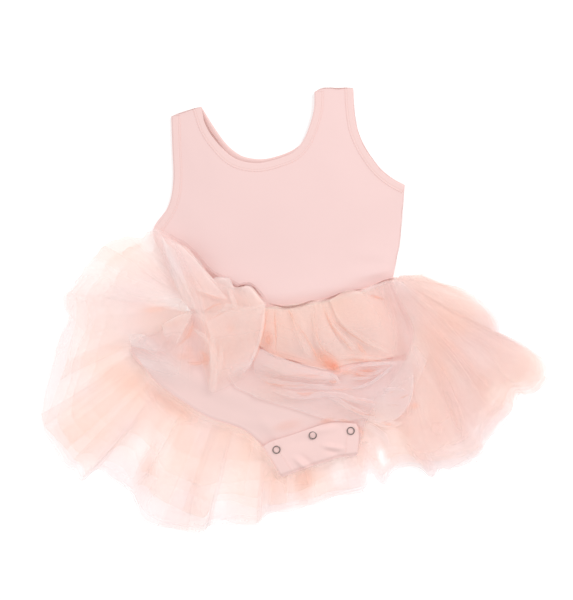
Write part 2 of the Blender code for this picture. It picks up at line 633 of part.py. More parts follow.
# ---------------------------------------------------------------- skirt, front layers
POUF_TOP = [(-29.0, -1.7), (-0.5, 1.9), (31.9, 8.7), (64.0, 17.2), (90.0, 26.0)]
POUF_BOTTOM = [(-34.0, -36.0), (-18.5, -46.0), (0.5, -51.0), (17.5, -57.0), (34.5, -60.0),
               (56.5, -54.0), (84.5, -50.0), (112.0, -44.0)]
POUF_LEFT = [POUF_TOP[0], (-33.0, -20.0), POUF_BOTTOM[0]]
POUF_RIGHT = [POUF_TOP[-1], (104.0, 2.0), (112.0, -22.0), POUF_BOTTOM[-1]]
pouf_grid = four_sided(smooth_line(POUF_TOP, 25), smooth_line(POUF_BOTTOM, 25),
                       smooth_line(POUF_LEFT, 8), smooth_line(POUF_RIGHT, 8))
POUF_FOLDS = [
    (-14, -8, -18, -42, 2.5, 4),
    (4, -6, 2, -46, 3.0, 6),
    (20, 0, 22, -44, 2.5, 5),
    (36, 2, 48, -38, 3.5, 7),
    (58, 8, 84, -30, 4.5, 12),
    (46, -49, 108, -46, 3.0, 6),
]


def pouf_lift(points, rows, cols):
    """A puffed layer: low at the gathered seam, highest two thirds of the way down."""
    down = np.repeat(np.linspace(0, 1, rows), cols)
    gather = 0.5 * np.where(np.arange(cols) % 2 == 0, 1.0, 0.0)
    body = 11.0 * np.sin(math.pi * np.clip(down, 0, 1) ** 0.8) ** 0.8
    return body + np.tile(gather, rows) * (1 - down) + folds(points, POUF_FOLDS)


lay_patch("tulle_front_inner", pouf_grid, TULLE_WALL,
          make_material("tulle_front_inner", TULLE_PINK, 0.9), pouf_lift, reach=9.0)

VEIL_TOP = [(-66.0, -66.0), (-34.0, -50.0), (-18.5, -57.0), (0.5, -62.0), (34.5, -69.0),
            (62.0, -62.0), (92.0, -57.0), (116.0, -60.0)]
VEIL_BOTTOM = [(-58.0, -78.0), (-30.0, -88.0), (0.0, -98.0), (41.5, -110.0), (70.0, -108.0),
               (98.0, -109.5), (114.0, -96.0)]
VEIL_LEFT = [VEIL_TOP[0], VEIL_BOTTOM[0]]
VEIL_RIGHT = [VEIL_TOP[-1], (118.0, -78.0), VEIL_BOTTOM[-1]]
veil_grid = four_sided(smooth_line(VEIL_TOP, 22), smooth_line(VEIL_BOTTOM, 22),
                       smooth_line(VEIL_LEFT, 8), smooth_line(VEIL_RIGHT, 8))
VEIL_FOLDS = [
    (-30, -66, 30, -78, 4.0, 4),
    (-40, -72, 40, -92, 3.0, 4),
    (30, -72, 100, -62, 4.5, 5),
    (36, -86, 108, -74, 3.5, 5),
    (54, -98, 100, -103, 3.0, 5),
    (33, -90, 42, -108, 2.5, 4),
]


def veil_lift(points, rows, cols):
    """Crumpled folds that run across the brief."""
    down = np.repeat(np.linspace(0, 1, rows), cols)
    return 2.0 * np.sin(math.pi * down) + folds(points, VEIL_FOLDS)


lay_patch("tulle_front_veil", veil_grid, TULLE_WALL,
          make_material("tulle_front_veil", TULLE_PINK, 0.9), veil_lift, reach=9.0)


def spread_fan(root, hem_points, rows, cols, power):
    """Fan of radial lines from a short gathered root to a long hem."""
    start = smooth_line(root, cols)
    end = smooth_line(hem_points, cols)
    share = (np.linspace(0, 1, rows) ** power)[:, None, None]
    return start[None] * (1 - share) + end[None] * share


RIGHT_ROOT = [(91.5, 25.6), (97.0, 27.6), (103.0, 29.0), (105.5, 30.5), (106.5, 34.0)]
RIGHT_HEM = [(121.0, -58.0), (117.0, -90.0), (124.0, -112.0), (146.0, -126.0), (166.0, -122.0),
             (188.0, -106.0), (202.0, -84.0), (222.0, -74.0), (238.0, -60.0), (222.0, -38.0),
             (200.0, -26.0), (197.0, -10.0), (184.0, 6.0), (166.0, 17.0), (146.0, 23.0),
             (128.0, 31.0)]
RIGHT_FOLDS = [
    (112, 14, 146, -26, 5.0, 8),
    (122, -20, 150, -96, 4.0, 9),
    (126, -14, 128, -86, 4.0, 8),
    (126, -16, 190, -88, 4.5, 9),
    (120, 8, 216, -52, 4.0, 9),
    (124, 18, 188, -8, 3.5, 9),
    (122, -70, 136, -112, 3.0, 7),
]


def right_lift(points, rows, cols):
    """Radial folds that die out into the hem waves."""
    wave = np.tile(1.0 + np.cos(np.arange(cols) * math.pi / 2.5), rows)
    out = np.repeat(np.linspace(0, 1, rows), cols)
    return 5.0 * np.sin(math.pi * out) ** 0.7 + 1.6 * wave * out + folds(points, RIGHT_FOLDS)


lay_patch("tulle_front_right", spread_fan(RIGHT_ROOT, RIGHT_HEM, 12, 31, 1.15), TULLE_WALL,
          make_material("tulle_front_right", TULLE_PINK, 0.9), right_lift, reach=12.0)

LEFT_ROOT = [(-96.0, 4.0), (-99.0, 7.0), (-104.0, 5.0), (-107.0, 0.0), (-106.0, -6.0),
             (-101.0, -8.0)]
LEFT_HEM = [(-92.0, 44.0), (-110.0, 62.0), (-124.0, 74.0), (-139.5, 80.5), (-151.5, 71.5),
            (-166.5, 72.5), (-184.5, 66.5), (-195.5, 56.5), (-209.5, 38.5), (-220.5, 22.5),
            (-226.5, 13.5), (-224.0, 1.0), (-216.0, -14.0), (-204.0, -26.0), (-186.0, -34.0),
            (-166.0, -36.0), (-144.0, -46.0), (-122.0, -60.0), (-104.0, -72.0)]
LEFT_FOLDS = [
    (-106, 8, -132, 70, 4.0, 7),
    (-108, 6, -160, 60, 4.5, 8),
    (-110, 4, -188, 48, 5.0, 9),
    (-112, 0, -206, 18, 5.0, 9),
    (-112, -4, -200, -14, 4.0, 8),
    (-110, -8, -150, -36, 4.0, 7),
    (-104, -12, -118, -52, 3.5, 6),
]


def left_lift(points, rows, cols):
    """Radial folds from the left end of the waist."""
    out = np.repeat(np.linspace(0, 1, rows), cols)
    wave = np.tile(1.0 + np.cos(np.arange(cols) * math.pi / 2.5), rows)
    return 6.0 * np.sin(math.pi * out) ** 0.7 + 1.4 * wave * out + folds(points, LEFT_FOLDS)


lay_patch("tulle_front_left", spread_fan(LEFT_ROOT, LEFT_HEM, 11, 33, 1.15), TULLE_WALL,
          make_material("tulle_front_left", TULLE_PINK, 0.9), left_lift, reach=11.0)

# the thrown-up fold between the left layers and the centre
FOLD_TOP = [(-106.5, 60.0), (-92.0, 46.0), (-82.0, 33.0), (-66.0, 29.0), (-56.0, 23.0),
            (-42.5, 22.0), (-29.0, 6.0)]
FOLD_BOTTOM = [(-98.0, -40.0), (-88.0, -78.0), (-74.0, -80.0), (-60.5, -73.5), (-50.0, -64.0),
               (-40.0, -50.0)]
FOLD_LEFT = [FOLD_TOP[0], (-100.0, 34.0), (-94.0, 0.0), FOLD_BOTTOM[0]]
FOLD_RIGHT = [FOLD_TOP[-1], (-29.0, -14.0), (-34.0, -34.0), FOLD_BOTTOM[-1]]
fold_grid = four_sided(smooth_line(FOLD_TOP, 17), smooth_line(FOLD_BOTTOM, 17),
                       smooth_line(FOLD_LEFT, 17), smooth_line(FOLD_RIGHT, 17))
FOLD_RIDGES = [
    (-104, 54, -92, -4, 5.0, 5),
    (-92, -4, -84, -74, 5.0, 6),
    (-84, 34, -66, -40, 4.0, 6),
    (-60, 24, -52, -30, 5.0, 7),
    (-90, -6, -46, 16, 4.0, 5),
    (-38, 14, -40, -44, 4.0, 6),
    (-64, -30, -66, -70, 3.0, 6),
]


def fold_lift(points, rows, cols):
    """Standing ridges of the thrown-up fold."""
    out = np.repeat(np.linspace(0, 1, rows), cols)
    side = np.tile(np.linspace(0, 1, cols), rows)
    swell = np.sin(math.pi * np.clip(out, 0.02, 0.98)) ** 0.6
    swell *= np.sin(math.pi * np.clip(side, 0.02, 0.98)) ** 0.6
    return 5.0 * swell + folds(points, FOLD_RIDGES)


lay_patch("tulle_front_fold", fold_grid, TULLE_WALL,
          make_material("tulle_front_fold", TULLE_PINK, 0.9), fold_lift, reach=9.0)

# ---------------------------------------------------------------- middle of the base on the origin
corner = np.array([list(v.co + obj.location) for obj in tutu.objects for v in obj.data.vertices])
middle = (corner.max(axis=0) + corner.min(axis=0)) / 2
shift = Vector((-middle[0], -middle[1], -corner[:, 2].min()))
for obj in tutu.objects:
    if obj.name.startswith("snap"):
        obj.location += shift
    else:
        obj.data.transform(Matrix.Translation(shift))
        obj.data.update()
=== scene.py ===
"""Looks of the infant's ballet tutu, laid flat: jersey leotard and layered tulle skirt."""
import math

import bpy
import numpy as np
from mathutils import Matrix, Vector


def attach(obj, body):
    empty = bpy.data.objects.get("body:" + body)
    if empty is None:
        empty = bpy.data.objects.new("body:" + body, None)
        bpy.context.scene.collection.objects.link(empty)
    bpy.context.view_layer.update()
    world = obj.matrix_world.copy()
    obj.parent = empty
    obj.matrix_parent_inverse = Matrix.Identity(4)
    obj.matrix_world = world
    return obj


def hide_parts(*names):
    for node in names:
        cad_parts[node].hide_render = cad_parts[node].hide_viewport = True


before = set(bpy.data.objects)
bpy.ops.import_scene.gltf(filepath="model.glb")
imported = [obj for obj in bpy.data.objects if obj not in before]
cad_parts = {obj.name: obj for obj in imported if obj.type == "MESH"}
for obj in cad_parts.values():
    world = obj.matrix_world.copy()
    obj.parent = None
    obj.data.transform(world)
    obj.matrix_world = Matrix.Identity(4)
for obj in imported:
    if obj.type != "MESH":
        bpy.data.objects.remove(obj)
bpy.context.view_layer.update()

# Tables are in millimetres: x to the right, y towards the shoulders, z up from the surface.
MM = 0.001
scene = bpy.context.scene


# ------------------------------------------------------------------ curves and patches
def dense_line(points, steps=14):
    """Catmull-Rom curve through the points."""
    pts = np.array(points, dtype=float)
    if len(pts) == 2:
        share = np.linspace(0.0, 1.0, steps * 4)[:, None]
        return pts[0] * (1 - share) + pts[1] * share
    ends = np.vstack([2 * pts[0] - pts[1], pts, 2 * pts[-1] - pts[-2]])
    out = []
    t = np.linspace(0.0, 1.0, steps, endpoint=False)[:, None]
    for i in range(1, len(ends) - 2):
        p0, p1, p2, p3 = ends[i - 1], ends[i], ends[i + 1], ends[i + 2]
        out.append(0.5 * (2 * p1 + (p2 - p0) * t + (2 * p0 - 5 * p1 + 4 * p2 - p3) * t * t
                          + (3 * p1 - p0 - 3 * p2 + p3) * t ** 3))
    out.append(pts[-1][None])
    return np.vstack(out)


def run_length(line):
    """Length of a polyline up to each of its points."""
    step = np.linalg.norm(np.diff(line, axis=0), axis=1)
    return np.concatenate([[0.0], np.cumsum(step)])


def even_line(line, count):
    """Points at even steps along a polyline."""
    length = run_length(line)
    want = np.linspace(0.0, length[-1], count)
    return np.stack([np.interp(want, length, line[:, k]) for k in range(line.shape[1])], axis=1)


def smooth_line(points, count):
    """Smooth curve through the points, sampled evenly."""
    return even_line(dense_line(points), count)


def directions(line):
    """Unit steps along a polyline, and to the left of it."""
    ahead = np.gradient(line, axis=0)
    ahead /= np.linalg.norm(ahead, axis=1)[:, None]
    return ahead, np.stack([-ahead[:, 1], ahead[:, 0]], axis=1)


def four_sided(top, bottom, left, right):
    """Coons patch: rows run from top to bottom, columns from left to right."""
    s = np.linspace(0.0, 1.0, len(top))[None, :, None]
    t = np.linspace(0.0, 1.0, len(left))[:, None, None]
    across = (1 - t) * top[None] + t * bottom[None]
    down = (1 - s) * left[:, None] + s * right[:, None]
    corners = ((1 - s) * (1 - t) * top[0] + s * (1 - t) * top[-1]
               + (1 - s) * t * bottom[0] + s * t * bottom[-1])
    return across + down - corners


def patch_grid(top, bottom, left, right, rows, cols):
    """Coons patch from four tables."""
    return four_sided(smooth_line(top, cols), smooth_line(bottom, cols),
                      smooth_line(left, rows), smooth_line(right, rows))


# ------------------------------------------------------------------ noise, ramps, creases
LATTICE = 64
FAR = 1000.0  # shift that keeps places on the lattice positive


def noise(u, v, seed):
    """Smooth repeatable noise from -1 to 1."""
    lattice = np.random.RandomState(seed).rand(LATTICE, LATTICE) * 2 - 1
    u = np.asarray(u, dtype=float) + FAR
    v = np.asarray(v, dtype=float) + FAR
    iu = np.floor(u).astype(int)
    iv = np.floor(v).astype(int)
    fu = u - iu
    fv = v - iv
    fu = fu * fu * fu * (fu * (fu * 6 - 15) + 10)
    fv = fv * fv * fv * (fv * (fv * 6 - 15) + 10)
    a = lattice[iu % LATTICE, iv % LATTICE]
    b = lattice[(iu + 1) % LATTICE, iv % LATTICE]
    c = lattice[iu % LATTICE, (iv + 1) % LATTICE]
    d = lattice[(iu + 1) % LATTICE, (iv + 1) % LATTICE]
    return (a * (1 - fu) + b * fu) * (1 - fv) + (c * (1 - fu) + d * fu) * fv


def wander(xy, size, seed):
    """Smooth shifts from -1 to 1 in x and in y; size is the length of a wave."""
    u, v = xy[..., 0] / size, xy[..., 1] / size
    return np.stack([noise(u, v, seed), noise(u, v, seed + 1)], axis=-1)


def ramp(low, high, value):
    """Smooth ramp from 0 at low to 1 at high."""
    t = np.clip((value - low) / (high - low), 0.0, 1.0)
    return t * t * (3 - 2 * t)


def taper(t, steep, least=0.0):
    """Rises to 1 from both ends of a run from 0 to 1."""
    return np.minimum(1.0, steep * np.minimum(t, 1 - t) + least)


def turned(degrees):
    """Cosine and sine of an angle."""
    return math.cos(math.radians(degrees)), math.sin(math.radians(degrees))


def segment_away(xy, x1, y1, x2, y2):
    """Distance from a segment, and the share along it."""
    start = np.array([x1, y1])
    run = np.array([x2 - x1, y2 - y1])
    share = np.clip((xy - start) @ run / (run @ run), 0.0, 1.0)
    away = np.linalg.norm(xy - start - share[..., None] * run, axis=-1)
    return away, share


def creases(xy, table):
    """Sum of soft ridges and troughs; a row is x1, y1, x2, y2, height, half width."""
    total = np.zeros(xy.shape[:-1])
    for x1, y1, x2, y2, height, half_width in table:
        away, share = segment_away(xy, x1, y1, x2, y2)
        fade = 0.2 + 0.8 * np.sin(math.pi * np.clip(share, 0.04, 0.96)) ** 0.6
        total += height * fade * np.exp(-(away / half_width) ** 2)
    return total


def ridges(xy, table):
    """Sum of creases with narrow crests; a row is x1, y1, x2, y2, height, half width."""
    total = np.zeros(xy.shape[:-1])
    for x1, y1, x2, y2, height, half_width in table:
        away, share = segment_away(xy, x1, y1, x2, y2)
        fade = np.sin(math.pi * np.clip(share, 0.03, 0.97)) ** 0.5
        near = np.sqrt(away * away + 0.5)
        total += height * fade * np.exp(-near / half_width)
    return total


def line_away(xy, lines):
    """Distance of each point from the nearest of some curves."""
    flat = xy.reshape(-1, 2)
    best = np.full(len(flat), np.inf)
    for line in lines:
        dense = smooth_line(line, 160)
        for i in range(0, len(dense), 40):
            part = dense[i:i + 41]
            away = np.linalg.norm(flat[:, None] - part[None], axis=2).min(axis=1)
            best = np.minimum(best, away)
    return best.reshape(xy.shape[:-1])


# ------------------------------------------------------------------ the heap that cloth lies on
class Heap:
    """Height map of the cloth laid so far."""

    CELL = 2.0
    HALF = 300.0

    def __init__(self):
        self.count = int(2 * self.HALF / self.CELL) + 1
        self.top = np.zeros((self.count, self.count))

    def lay(self, xyz):
        """Add the points of a grid of cloth, and the points midway between them."""
        xyz = xyz[..., :3]
        fine = [xyz, (xyz[1:] + xyz[:-1]) / 2, (xyz[:, 1:] + xyz[:, :-1]) / 2,
                (xyz[1:, 1:] + xyz[:-1, :-1]) / 2]
        pts = np.vstack([part.reshape(-1, 3) for part in fine])
        cell = np.rint((pts[:, :2] + self.HALF) / self.CELL).astype(int)
        cell = np.clip(cell, 0, self.count - 1)
        np.maximum.at(self.top, (cell[:, 1], cell[:, 0]), pts[:, 2])

    def under(self, xy, reach, soften):
        """Highest cloth within reach, softened."""
        field = spread(self.top, int(math.ceil((reach + soften) / self.CELL)))
        field = blur(field, max(1, int(round(soften / self.CELL))))
        place = (xy + self.HALF) / self.CELL
        i = np.clip(np.floor(place).astype(int), 0, self.count - 2)
        f = place - i
        x0, y0 = i[..., 0], i[..., 1]
        fx, fy = f[..., 0], f[..., 1]
        return ((field[y0, x0] * (1 - fx) + field[y0, x0 + 1] * fx) * (1 - fy)
                + (field[y0 + 1, x0] * (1 - fx) + field[y0 + 1, x0 + 1] * fx) * fy)


def spread(field, cells):
    """Largest value within a square of cells."""
    out = field.copy()
    for axis in (0, 1):
        base = out.copy()
        for k in range(1, cells + 1):
            out = np.maximum(out, np.maximum(np.roll(base, k, axis), np.roll(base, -k, axis)))
    return out


def blur(field, cells):
    """Mean over a square of cells, twice."""
    out = field
    for axis in (0, 1, 0, 1):
        total = out.copy()
        for k in range(1, cells + 1):
            total = total + np.roll(out, k, axis) + np.roll(out, -k, axis)
        out = total / (2 * cells + 1)
    return out


heap = Heap()


def mesh_object(name, verts, faces, material, wall=0.0):
    """A mesh in metres from points in millimetres, with an optional wall below them."""
    mesh = bpy.data.meshes.new(name)
    mesh.from_pydata((np.asarray(verts) * MM).tolist(), [], faces)
    mesh.update()
    mesh.shade_smooth()
    obj = bpy.data.objects.new(name, mesh)
    scene.collection.objects.link(obj)
    mesh.materials.append(material)
    if wall:
        solidify = obj.modifiers.new("wall", "SOLIDIFY")
        solidify.thickness = wall * MM
        solidify.offset = -1.0
        bpy.context.view_layer.update()
        view = bpy.context.evaluated_depsgraph_get()
        obj.data = bpy.data.meshes.new_from_object(obj.evaluated_get(view))
        obj.modifiers.clear()
        obj.data.set_sharp_from_angle(angle=math.radians(50))
    return obj


def grid_faces(rows, cols, start=0):
    """Quads of a grid, seen from above with their fronts up."""
    r, c = np.meshgrid(np.arange(rows - 1), np.arange(cols - 1), indexing="ij")
    a = (start + r * cols + c).ravel()
    return np.stack([a, a + cols, a + cols + 1, a + 1], axis=1).tolist()


def grid_object(name, xyz, material, wall=0.0):
    """Object of one grid of points."""
    rows, cols, _ = xyz.shape
    faces = grid_faces(rows, cols)
    a, b, c = xyz[0, 0], xyz[-1, 0], xyz[-1, -1]
    turn = (b[0] - a[0]) * (c[1] - a[1]) - (b[1] - a[1]) * (c[0] - a[0])
    if turn < 0:
        faces = [face[::-1] for face in faces]
    return mesh_object(name, xyz.reshape(-1, 3), faces, material, wall)


def read(items, field, wide=1, kind=float):
    """A field of some mesh items, one row each."""
    out = np.empty(len(items) * wide, dtype=kind)
    items.foreach_get(field, out)
    return out.reshape(-1, wide) if wide > 1 else out


def soften_normals(obj, up):
    """Lean the shading normals of net towards the vertical, on each face's own side."""
    mesh = obj.data
    smooth = read(mesh.vertices, "normal", 3)[read(mesh.loops, "vertex_index", 1, np.int32)]
    corners = read(mesh.polygons, "loop_total", 1, np.int32)
    face = np.repeat(read(mesh.polygons, "normal", 3), corners, axis=0)
    agree = np.einsum("ij,ij->i", smooth, face)
    smooth = np.where(agree[:, None] > 0.3, smooth, face)
    smooth[:, 2] += np.where(face[:, 2] >= 0, up, -up)
    smooth /= np.linalg.norm(smooth, axis=1)[:, None]
    mesh.normals_split_custom_set(smooth.tolist())


def with_fullness(xyz, full):
    """Grid with its fullness as a fourth number."""
    return np.dstack([xyz[..., :3], np.broadcast_to(full, xyz.shape[:2])])


def dress(obj, nodes):
    """Attach a piece to the root body, and hide the solids that it stands for."""
    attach(obj, "root")
    for node in nodes:
        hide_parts(node)


def net_piece(name, nodes, grids, material, up=0.8):
    """Gathered net of several grids; a grid's fourth number says how full the net is there."""
    verts = []
    faces = []
    full = []
    start = 0
    for xyz in grids:
        rows, cols, wide = xyz.shape
        verts.append(xyz[..., :3].reshape(-1, 3))
        full.append(xyz[..., 3].ravel() if wide == 4 else np.ones(rows * cols))
        faces += grid_faces(rows, cols, start)
        start += rows * cols
    obj = mesh_object(name, np.vstack(verts), faces, material)
    share = obj.data.attributes.new("fullness", "FLOAT", "POINT")
    share.data.foreach_set("value", np.clip(np.concatenate(full), 0.0, 4.0))
    soften_normals(obj, up)
    dress(obj, nodes)


# ------------------------------------------------------------------ materials
def add_node(tree, kind, values=None, **settings):
    """Shader node with its settings and the values of its inputs."""
    node = tree.nodes.new("ShaderNode" + kind)
    for key, value in settings.items():
        setattr(node, key, value)
    for key, value in (values or {}).items():
        node.inputs[key].default_value = value
    return node


def wire(tree, table):
    """Links between nodes; a row is node, output, node, input."""
    for source, output, target, entry in table:
        tree.links.new(source.outputs[output], target.inputs[entry])


def principled(name, colour, rough, values=None):
    """Material with its Principled node."""
    mat = bpy.data.materials.new(name)
    mat.use_nodes = True
    shader = mat.node_tree.nodes["Principled BSDF"]
    shader.inputs["Base Color"].default_value = (*colour, 1.0)
    shader.inputs["Roughness"].default_value = rough
    for key, value in (values or {}).items():
        shader.inputs[key].default_value = value
    return mat, mat.node_tree, shader


def jersey_material(name, colour):
    """Fine cotton jersey: matt, with faint ribs and a soft nap."""
    mat, tree, shader = principled(name, colour, 0.88, {
        "Sheen Weight": 0.25, "Sheen Roughness": 0.5, "Specular IOR Level": 0.15})
    place = add_node(tree, "TexCoord")
    turn = add_node(tree, "Mapping", {"Rotation": (0, 0, math.radians(-9.2))})
    ribs = add_node(tree, "TexWave", {"Scale": 320.0, "Distortion": 1.2, "Detail": 1.0})
    grain = add_node(tree, "TexNoise", {"Scale": 900.0})
    knit = add_node(tree, "Math", operation="ADD")
    bump = add_node(tree, "Bump", {"Strength": 0.12, "Distance": 0.0004})
    shade = add_node(tree, "TexNoise", {"Scale": 22.0, "Detail": 3.0})
    tint = add_node(tree, "MapRange", {"To Min": 0.985, "To Max": 1.015})
    paint = add_node(tree, "Mix", {"Factor": 1.0, "A": (*colour, 1.0)},
                     data_type="RGBA", blend_type="MULTIPLY")
    wire(tree, [
        (place, "Object", turn, "Vector"), (turn, "Vector", ribs, "Vector"),
        (place, "Object", grain, "Vector"), (ribs, "Fac", knit, 0), (grain, "Fac", knit, 1),
        (knit, "Value", bump, "Height"), (bump, "Normal", shader, "Normal"),
        (place, "Object", shade, "Vector"), (shade, "Fac", tint, "Value"),
        (tint, "Result", paint, "B"), (paint, "Result", shader, "Base Color"),
    ])
    return mat


def tulle_material(name, colour, cover, through=0.45, most=0.62):
    """Soft net: lets most light through, and looks denser where it stands on edge."""
    mat, tree, shader = principled(name, colour, 1.0, {"Specular IOR Level": 0.0})
    red, green, blue = colour
    place = add_node(tree, "TexCoord")
    facing = add_node(tree, "NewGeometry")
    split = add_node(tree, "SeparateXYZ")
    level = add_node(tree, "Math", operation="ABSOLUTE")
    least = add_node(tree, "Math", {1: 4.0}, operation="POWER")
    holes = add_node(tree, "TexNoise", {"Scale": 700.0, "Detail": 2.0})
    weave = add_node(tree, "MapRange", {"To Min": cover * 0.9, "To Max": cover * 1.1})
    gather = add_node(tree, "Attribute", attribute_name="fullness")
    filled = add_node(tree, "Math", operation="MULTIPLY")
    share = add_node(tree, "Math", operation="DIVIDE")
    cap = add_node(tree, "Math", {1: most}, operation="MINIMUM")
    patches = add_node(tree, "TexNoise", {"Scale": 15.0, "Detail": 2.0})
    tint = add_node(tree, "ValToRGB")
    warm, cool = tint.color_ramp.elements
    warm.position, cool.position = 0.36, 0.64
    warm.color = (red, green * 0.985, blue * 0.962, 1.0)
    cool.color = (red * 0.985, green * 1.005, blue * 1.025, 1.0)
    back = add_node(tree, "BsdfTranslucent")
    body = add_node(tree, "MixShader", {"Fac": through})
    clear = add_node(tree, "BsdfTransparent")
    net = add_node(tree, "MixShader")
    wire(tree, [
        (facing, "Normal", split, "Vector"), (split, "Z", level, 0), (level, "Value", least, 0),
        (place, "Object", holes, "Vector"), (place, "Object", patches, "Vector"),
        (patches, "Fac", tint, "Fac"), (tint, "Color", shader, "Base Color"),
        (tint, "Color", back, "Color"), (holes, "Fac", weave, "Value"),
        (weave, "Result", filled, 0), (gather, "Fac", filled, 1), (filled, "Value", share, 0),
        (least, "Value", share, 1), (share, "Value", cap, 0), (cap, "Value", net, "Fac"),
        (shader, "BSDF", body, 1), (back, "BSDF", body, 2), (clear, "BSDF", net, 1),
        (body, "Shader", net, 2), (net, "Shader", tree.nodes["Material Output"], "Surface"),
    ])
    return mat


jersey = jersey_material("jersey", (0.84, 0.61, 0.59))
band_jersey = jersey_material("band_jersey", (0.84, 0.606, 0.582))
brief_jersey = jersey_material("brief_jersey", (0.838, 0.608, 0.58))
# Lighter copy of the jersey for the crotch tab: painted light that offsets its shade
tab_jersey_painted_light = jersey_material("tab_jersey_painted_light", (0.875, 0.624, 0.594))
# Slightly darker, warmer copy of the jersey for the back panel, back neck band and brief's back:
# painted shade
inside_jersey_painted_shade = jersey_material("inside_jersey_painted_shade", (0.84, 0.59, 0.56))
tulle = tulle_material("tulle", (0.968, 0.838, 0.827), 0.22)
tulle_inner = tulle_material("tulle_inner", (0.985, 0.84, 0.78), 0.20)
tulle_left = tulle_material("tulle_left", (0.985, 0.862, 0.828), 0.16)
tulle_right = tulle_material("tulle_right", (0.96, 0.80, 0.755), 0.195)
tulle_veil = tulle_material("tulle_veil", (0.955, 0.83, 0.81), 0.22, 0.25)
tulle_front = tulle_material("tulle_front", (0.99, 0.86, 0.833), 0.22, 0.15)
tulle_pale = tulle_material("tulle_pale", (0.96, 0.90, 0.885), 0.26, 0.2)
tulle_dense = tulle_material("tulle_dense", (1.0, 0.78, 0.71), 0.60, 0.05, 0.85)
tulle_crumple = tulle_material("tulle_crumple", (1.0, 0.82, 0.765), 0.36, 0.1, 0.7)
# Warm orange net laid only in creases and hollows: painted warm shade
painted_shade_tulle = tulle_material("painted_shade_tulle", (1.0, 0.56, 0.41), 0.13)
# Dark brownish net laid in thin strips along rims, seams and edges: painted shadow
painted_shadow_tulle = tulle_material("painted_shadow_tulle", (0.60, 0.35, 0.31), 0.075)
thread, _, _ = principled("thread", (0.90, 0.60, 0.55), 0.6)
snap_metal, _, _ = principled("snap_metal", (0.22, 0.195, 0.185), 0.35, {"Metallic": 1.0})

# ------------------------------------------------------------------ leotard outlines
LEFT_STRAP_TOP = [(-122.4, 193.8), (-107, 198.8), (-92.8, 203.1)]
RIGHT_STRAP_TOP = [(21.4, 218.2), (29, 221.5), (44, 222.2), (59.7, 222.2)]
LEFT_ARM_UPPER = [(-122.4, 193.8), (-121.8, 178), (-121.3, 163)]
LEFT_ARM_LOWER = [(-121.3, 163), (-120.3, 130), (-125, 104.5), (-140.5, 80)]
LEFT_SIDE = [(-140.5, 80), (-133, 55.5), (-123, 32.5), (-112.5, 12.5), (-102, -2.5)]
RIGHT_ARM_UPPER = [(59.7, 222.2), (60.5, 205.5), (62.5, 187.5), (67, 172.5)]
RIGHT_ARM_LOWER = [(67, 172.5), (75, 157.3), (86.2, 142.2), (98.3, 131.9), (109.8, 125.6),
                   (111.8, 124.6)]
RIGHT_SIDE = [(111.8, 124.6), (111.5, 122.4), (109, 94.5), (106.8, 69.5), (102.6, 47.5),
              (99.2, 30.5)]
WAIST = [(-102, -2.5), (-66.3, -2.2), (-33.2, 0.8), (-0.5, 3.4), (31.9, 9), (64, 17.6),
         (99.5, 30.3)]
FRONT_NECK_LEFT = [(-92.8, 203.1), (-85.5, 181.5), (-74.5, 165.5)]
FRONT_NECK_FLOOR = [(-74.5, 165.5), (-64, 154.5), (-51.5, 148.3), (-34, 146.5),
                    (-13.5, 151.5), (-0.5, 157.5), (9.5, 168.5)]
FRONT_NECK_RIGHT = [(21.4, 218.2), (20.9, 201.5), (16.5, 184.5), (9.5, 168.5)]
BACK_NECK_LEFT = [(-92.8, 203.1), (-81.2, 184.5), (-69.8, 168.3)]
BACK_NECK_FLOOR = [(-69.8, 168.3), (-60, 158.8), (-48.5, 152.6), (-30.5, 150.6),
                   (-12.5, 154.7), (1.5, 161), (10.5, 169.3)]
BACK_NECK_RIGHT = [(21.4, 218.2), (21.1, 201.5), (17.2, 184.5), (10.5, 169.3)]
ARM_LEFT = LEFT_ARM_UPPER + LEFT_ARM_LOWER[1:]
ARM_RIGHT = RIGHT_ARM_UPPER + RIGHT_ARM_LOWER[1:]
WAIST_GATHERS = 14


def bodice_grids(neck_left, neck_floor, neck_right, strap_cols, neck_cols, strap_rows, rows):
    """Body patch and two strap patches of a tank-top panel."""
    row_left = smooth_line([LEFT_ARM_UPPER[-1], neck_left[-1]], strap_cols)
    row_neck = smooth_line(neck_floor, neck_cols)
    row_right = smooth_line([neck_right[-1], RIGHT_ARM_UPPER[-1]], strap_cols)
    top = np.vstack([row_left, row_neck[1:], row_right[1:]])
    waist = smooth_line(WAIST, len(top))
    share = np.linspace(0, 1, len(top))
    waist[:, 1] -= (0.9 * np.cos(2 * math.pi * WAIST_GATHERS * share) * ramp(0.2, 0.4, share)
                    * (1 - ramp(0.7, 0.9, share)))
    body = four_sided(top, waist,
                      smooth_line(LEFT_ARM_LOWER + LEFT_SIDE[1:], rows),
                      smooth_line(RIGHT_ARM_LOWER + RIGHT_SIDE[1:], rows))
    left = four_sided(smooth_line(LEFT_STRAP_TOP, strap_cols), row_left,
                      smooth_line(LEFT_ARM_UPPER, strap_rows),
                      smooth_line(neck_left, strap_rows))
    right = four_sided(smooth_line(RIGHT_STRAP_TOP, strap_cols), row_right,
                       smooth_line(neck_right, strap_rows),
                       smooth_line(RIGHT_ARM_UPPER, strap_rows))
    return [body, left, right]


def joined_grids(grids, height):
    """One set of points and faces from grids that share their edges."""
    verts = []
    faces = []
    number = {}
    for grid in grids:
        rows, cols, _ = grid.shape
        ids = []
        for point, level in zip(grid.reshape(-1, 2), height(grid).ravel()):
            key = (round(point[0], 2), round(point[1], 2))
            if key not in number:
                number[key] = len(verts)
                verts.append((point[0], point[1], level))
            ids.append(number[key])
        faces += [[ids[i] for i in face] for face in grid_faces(rows, cols)]
    return np.array(verts), faces


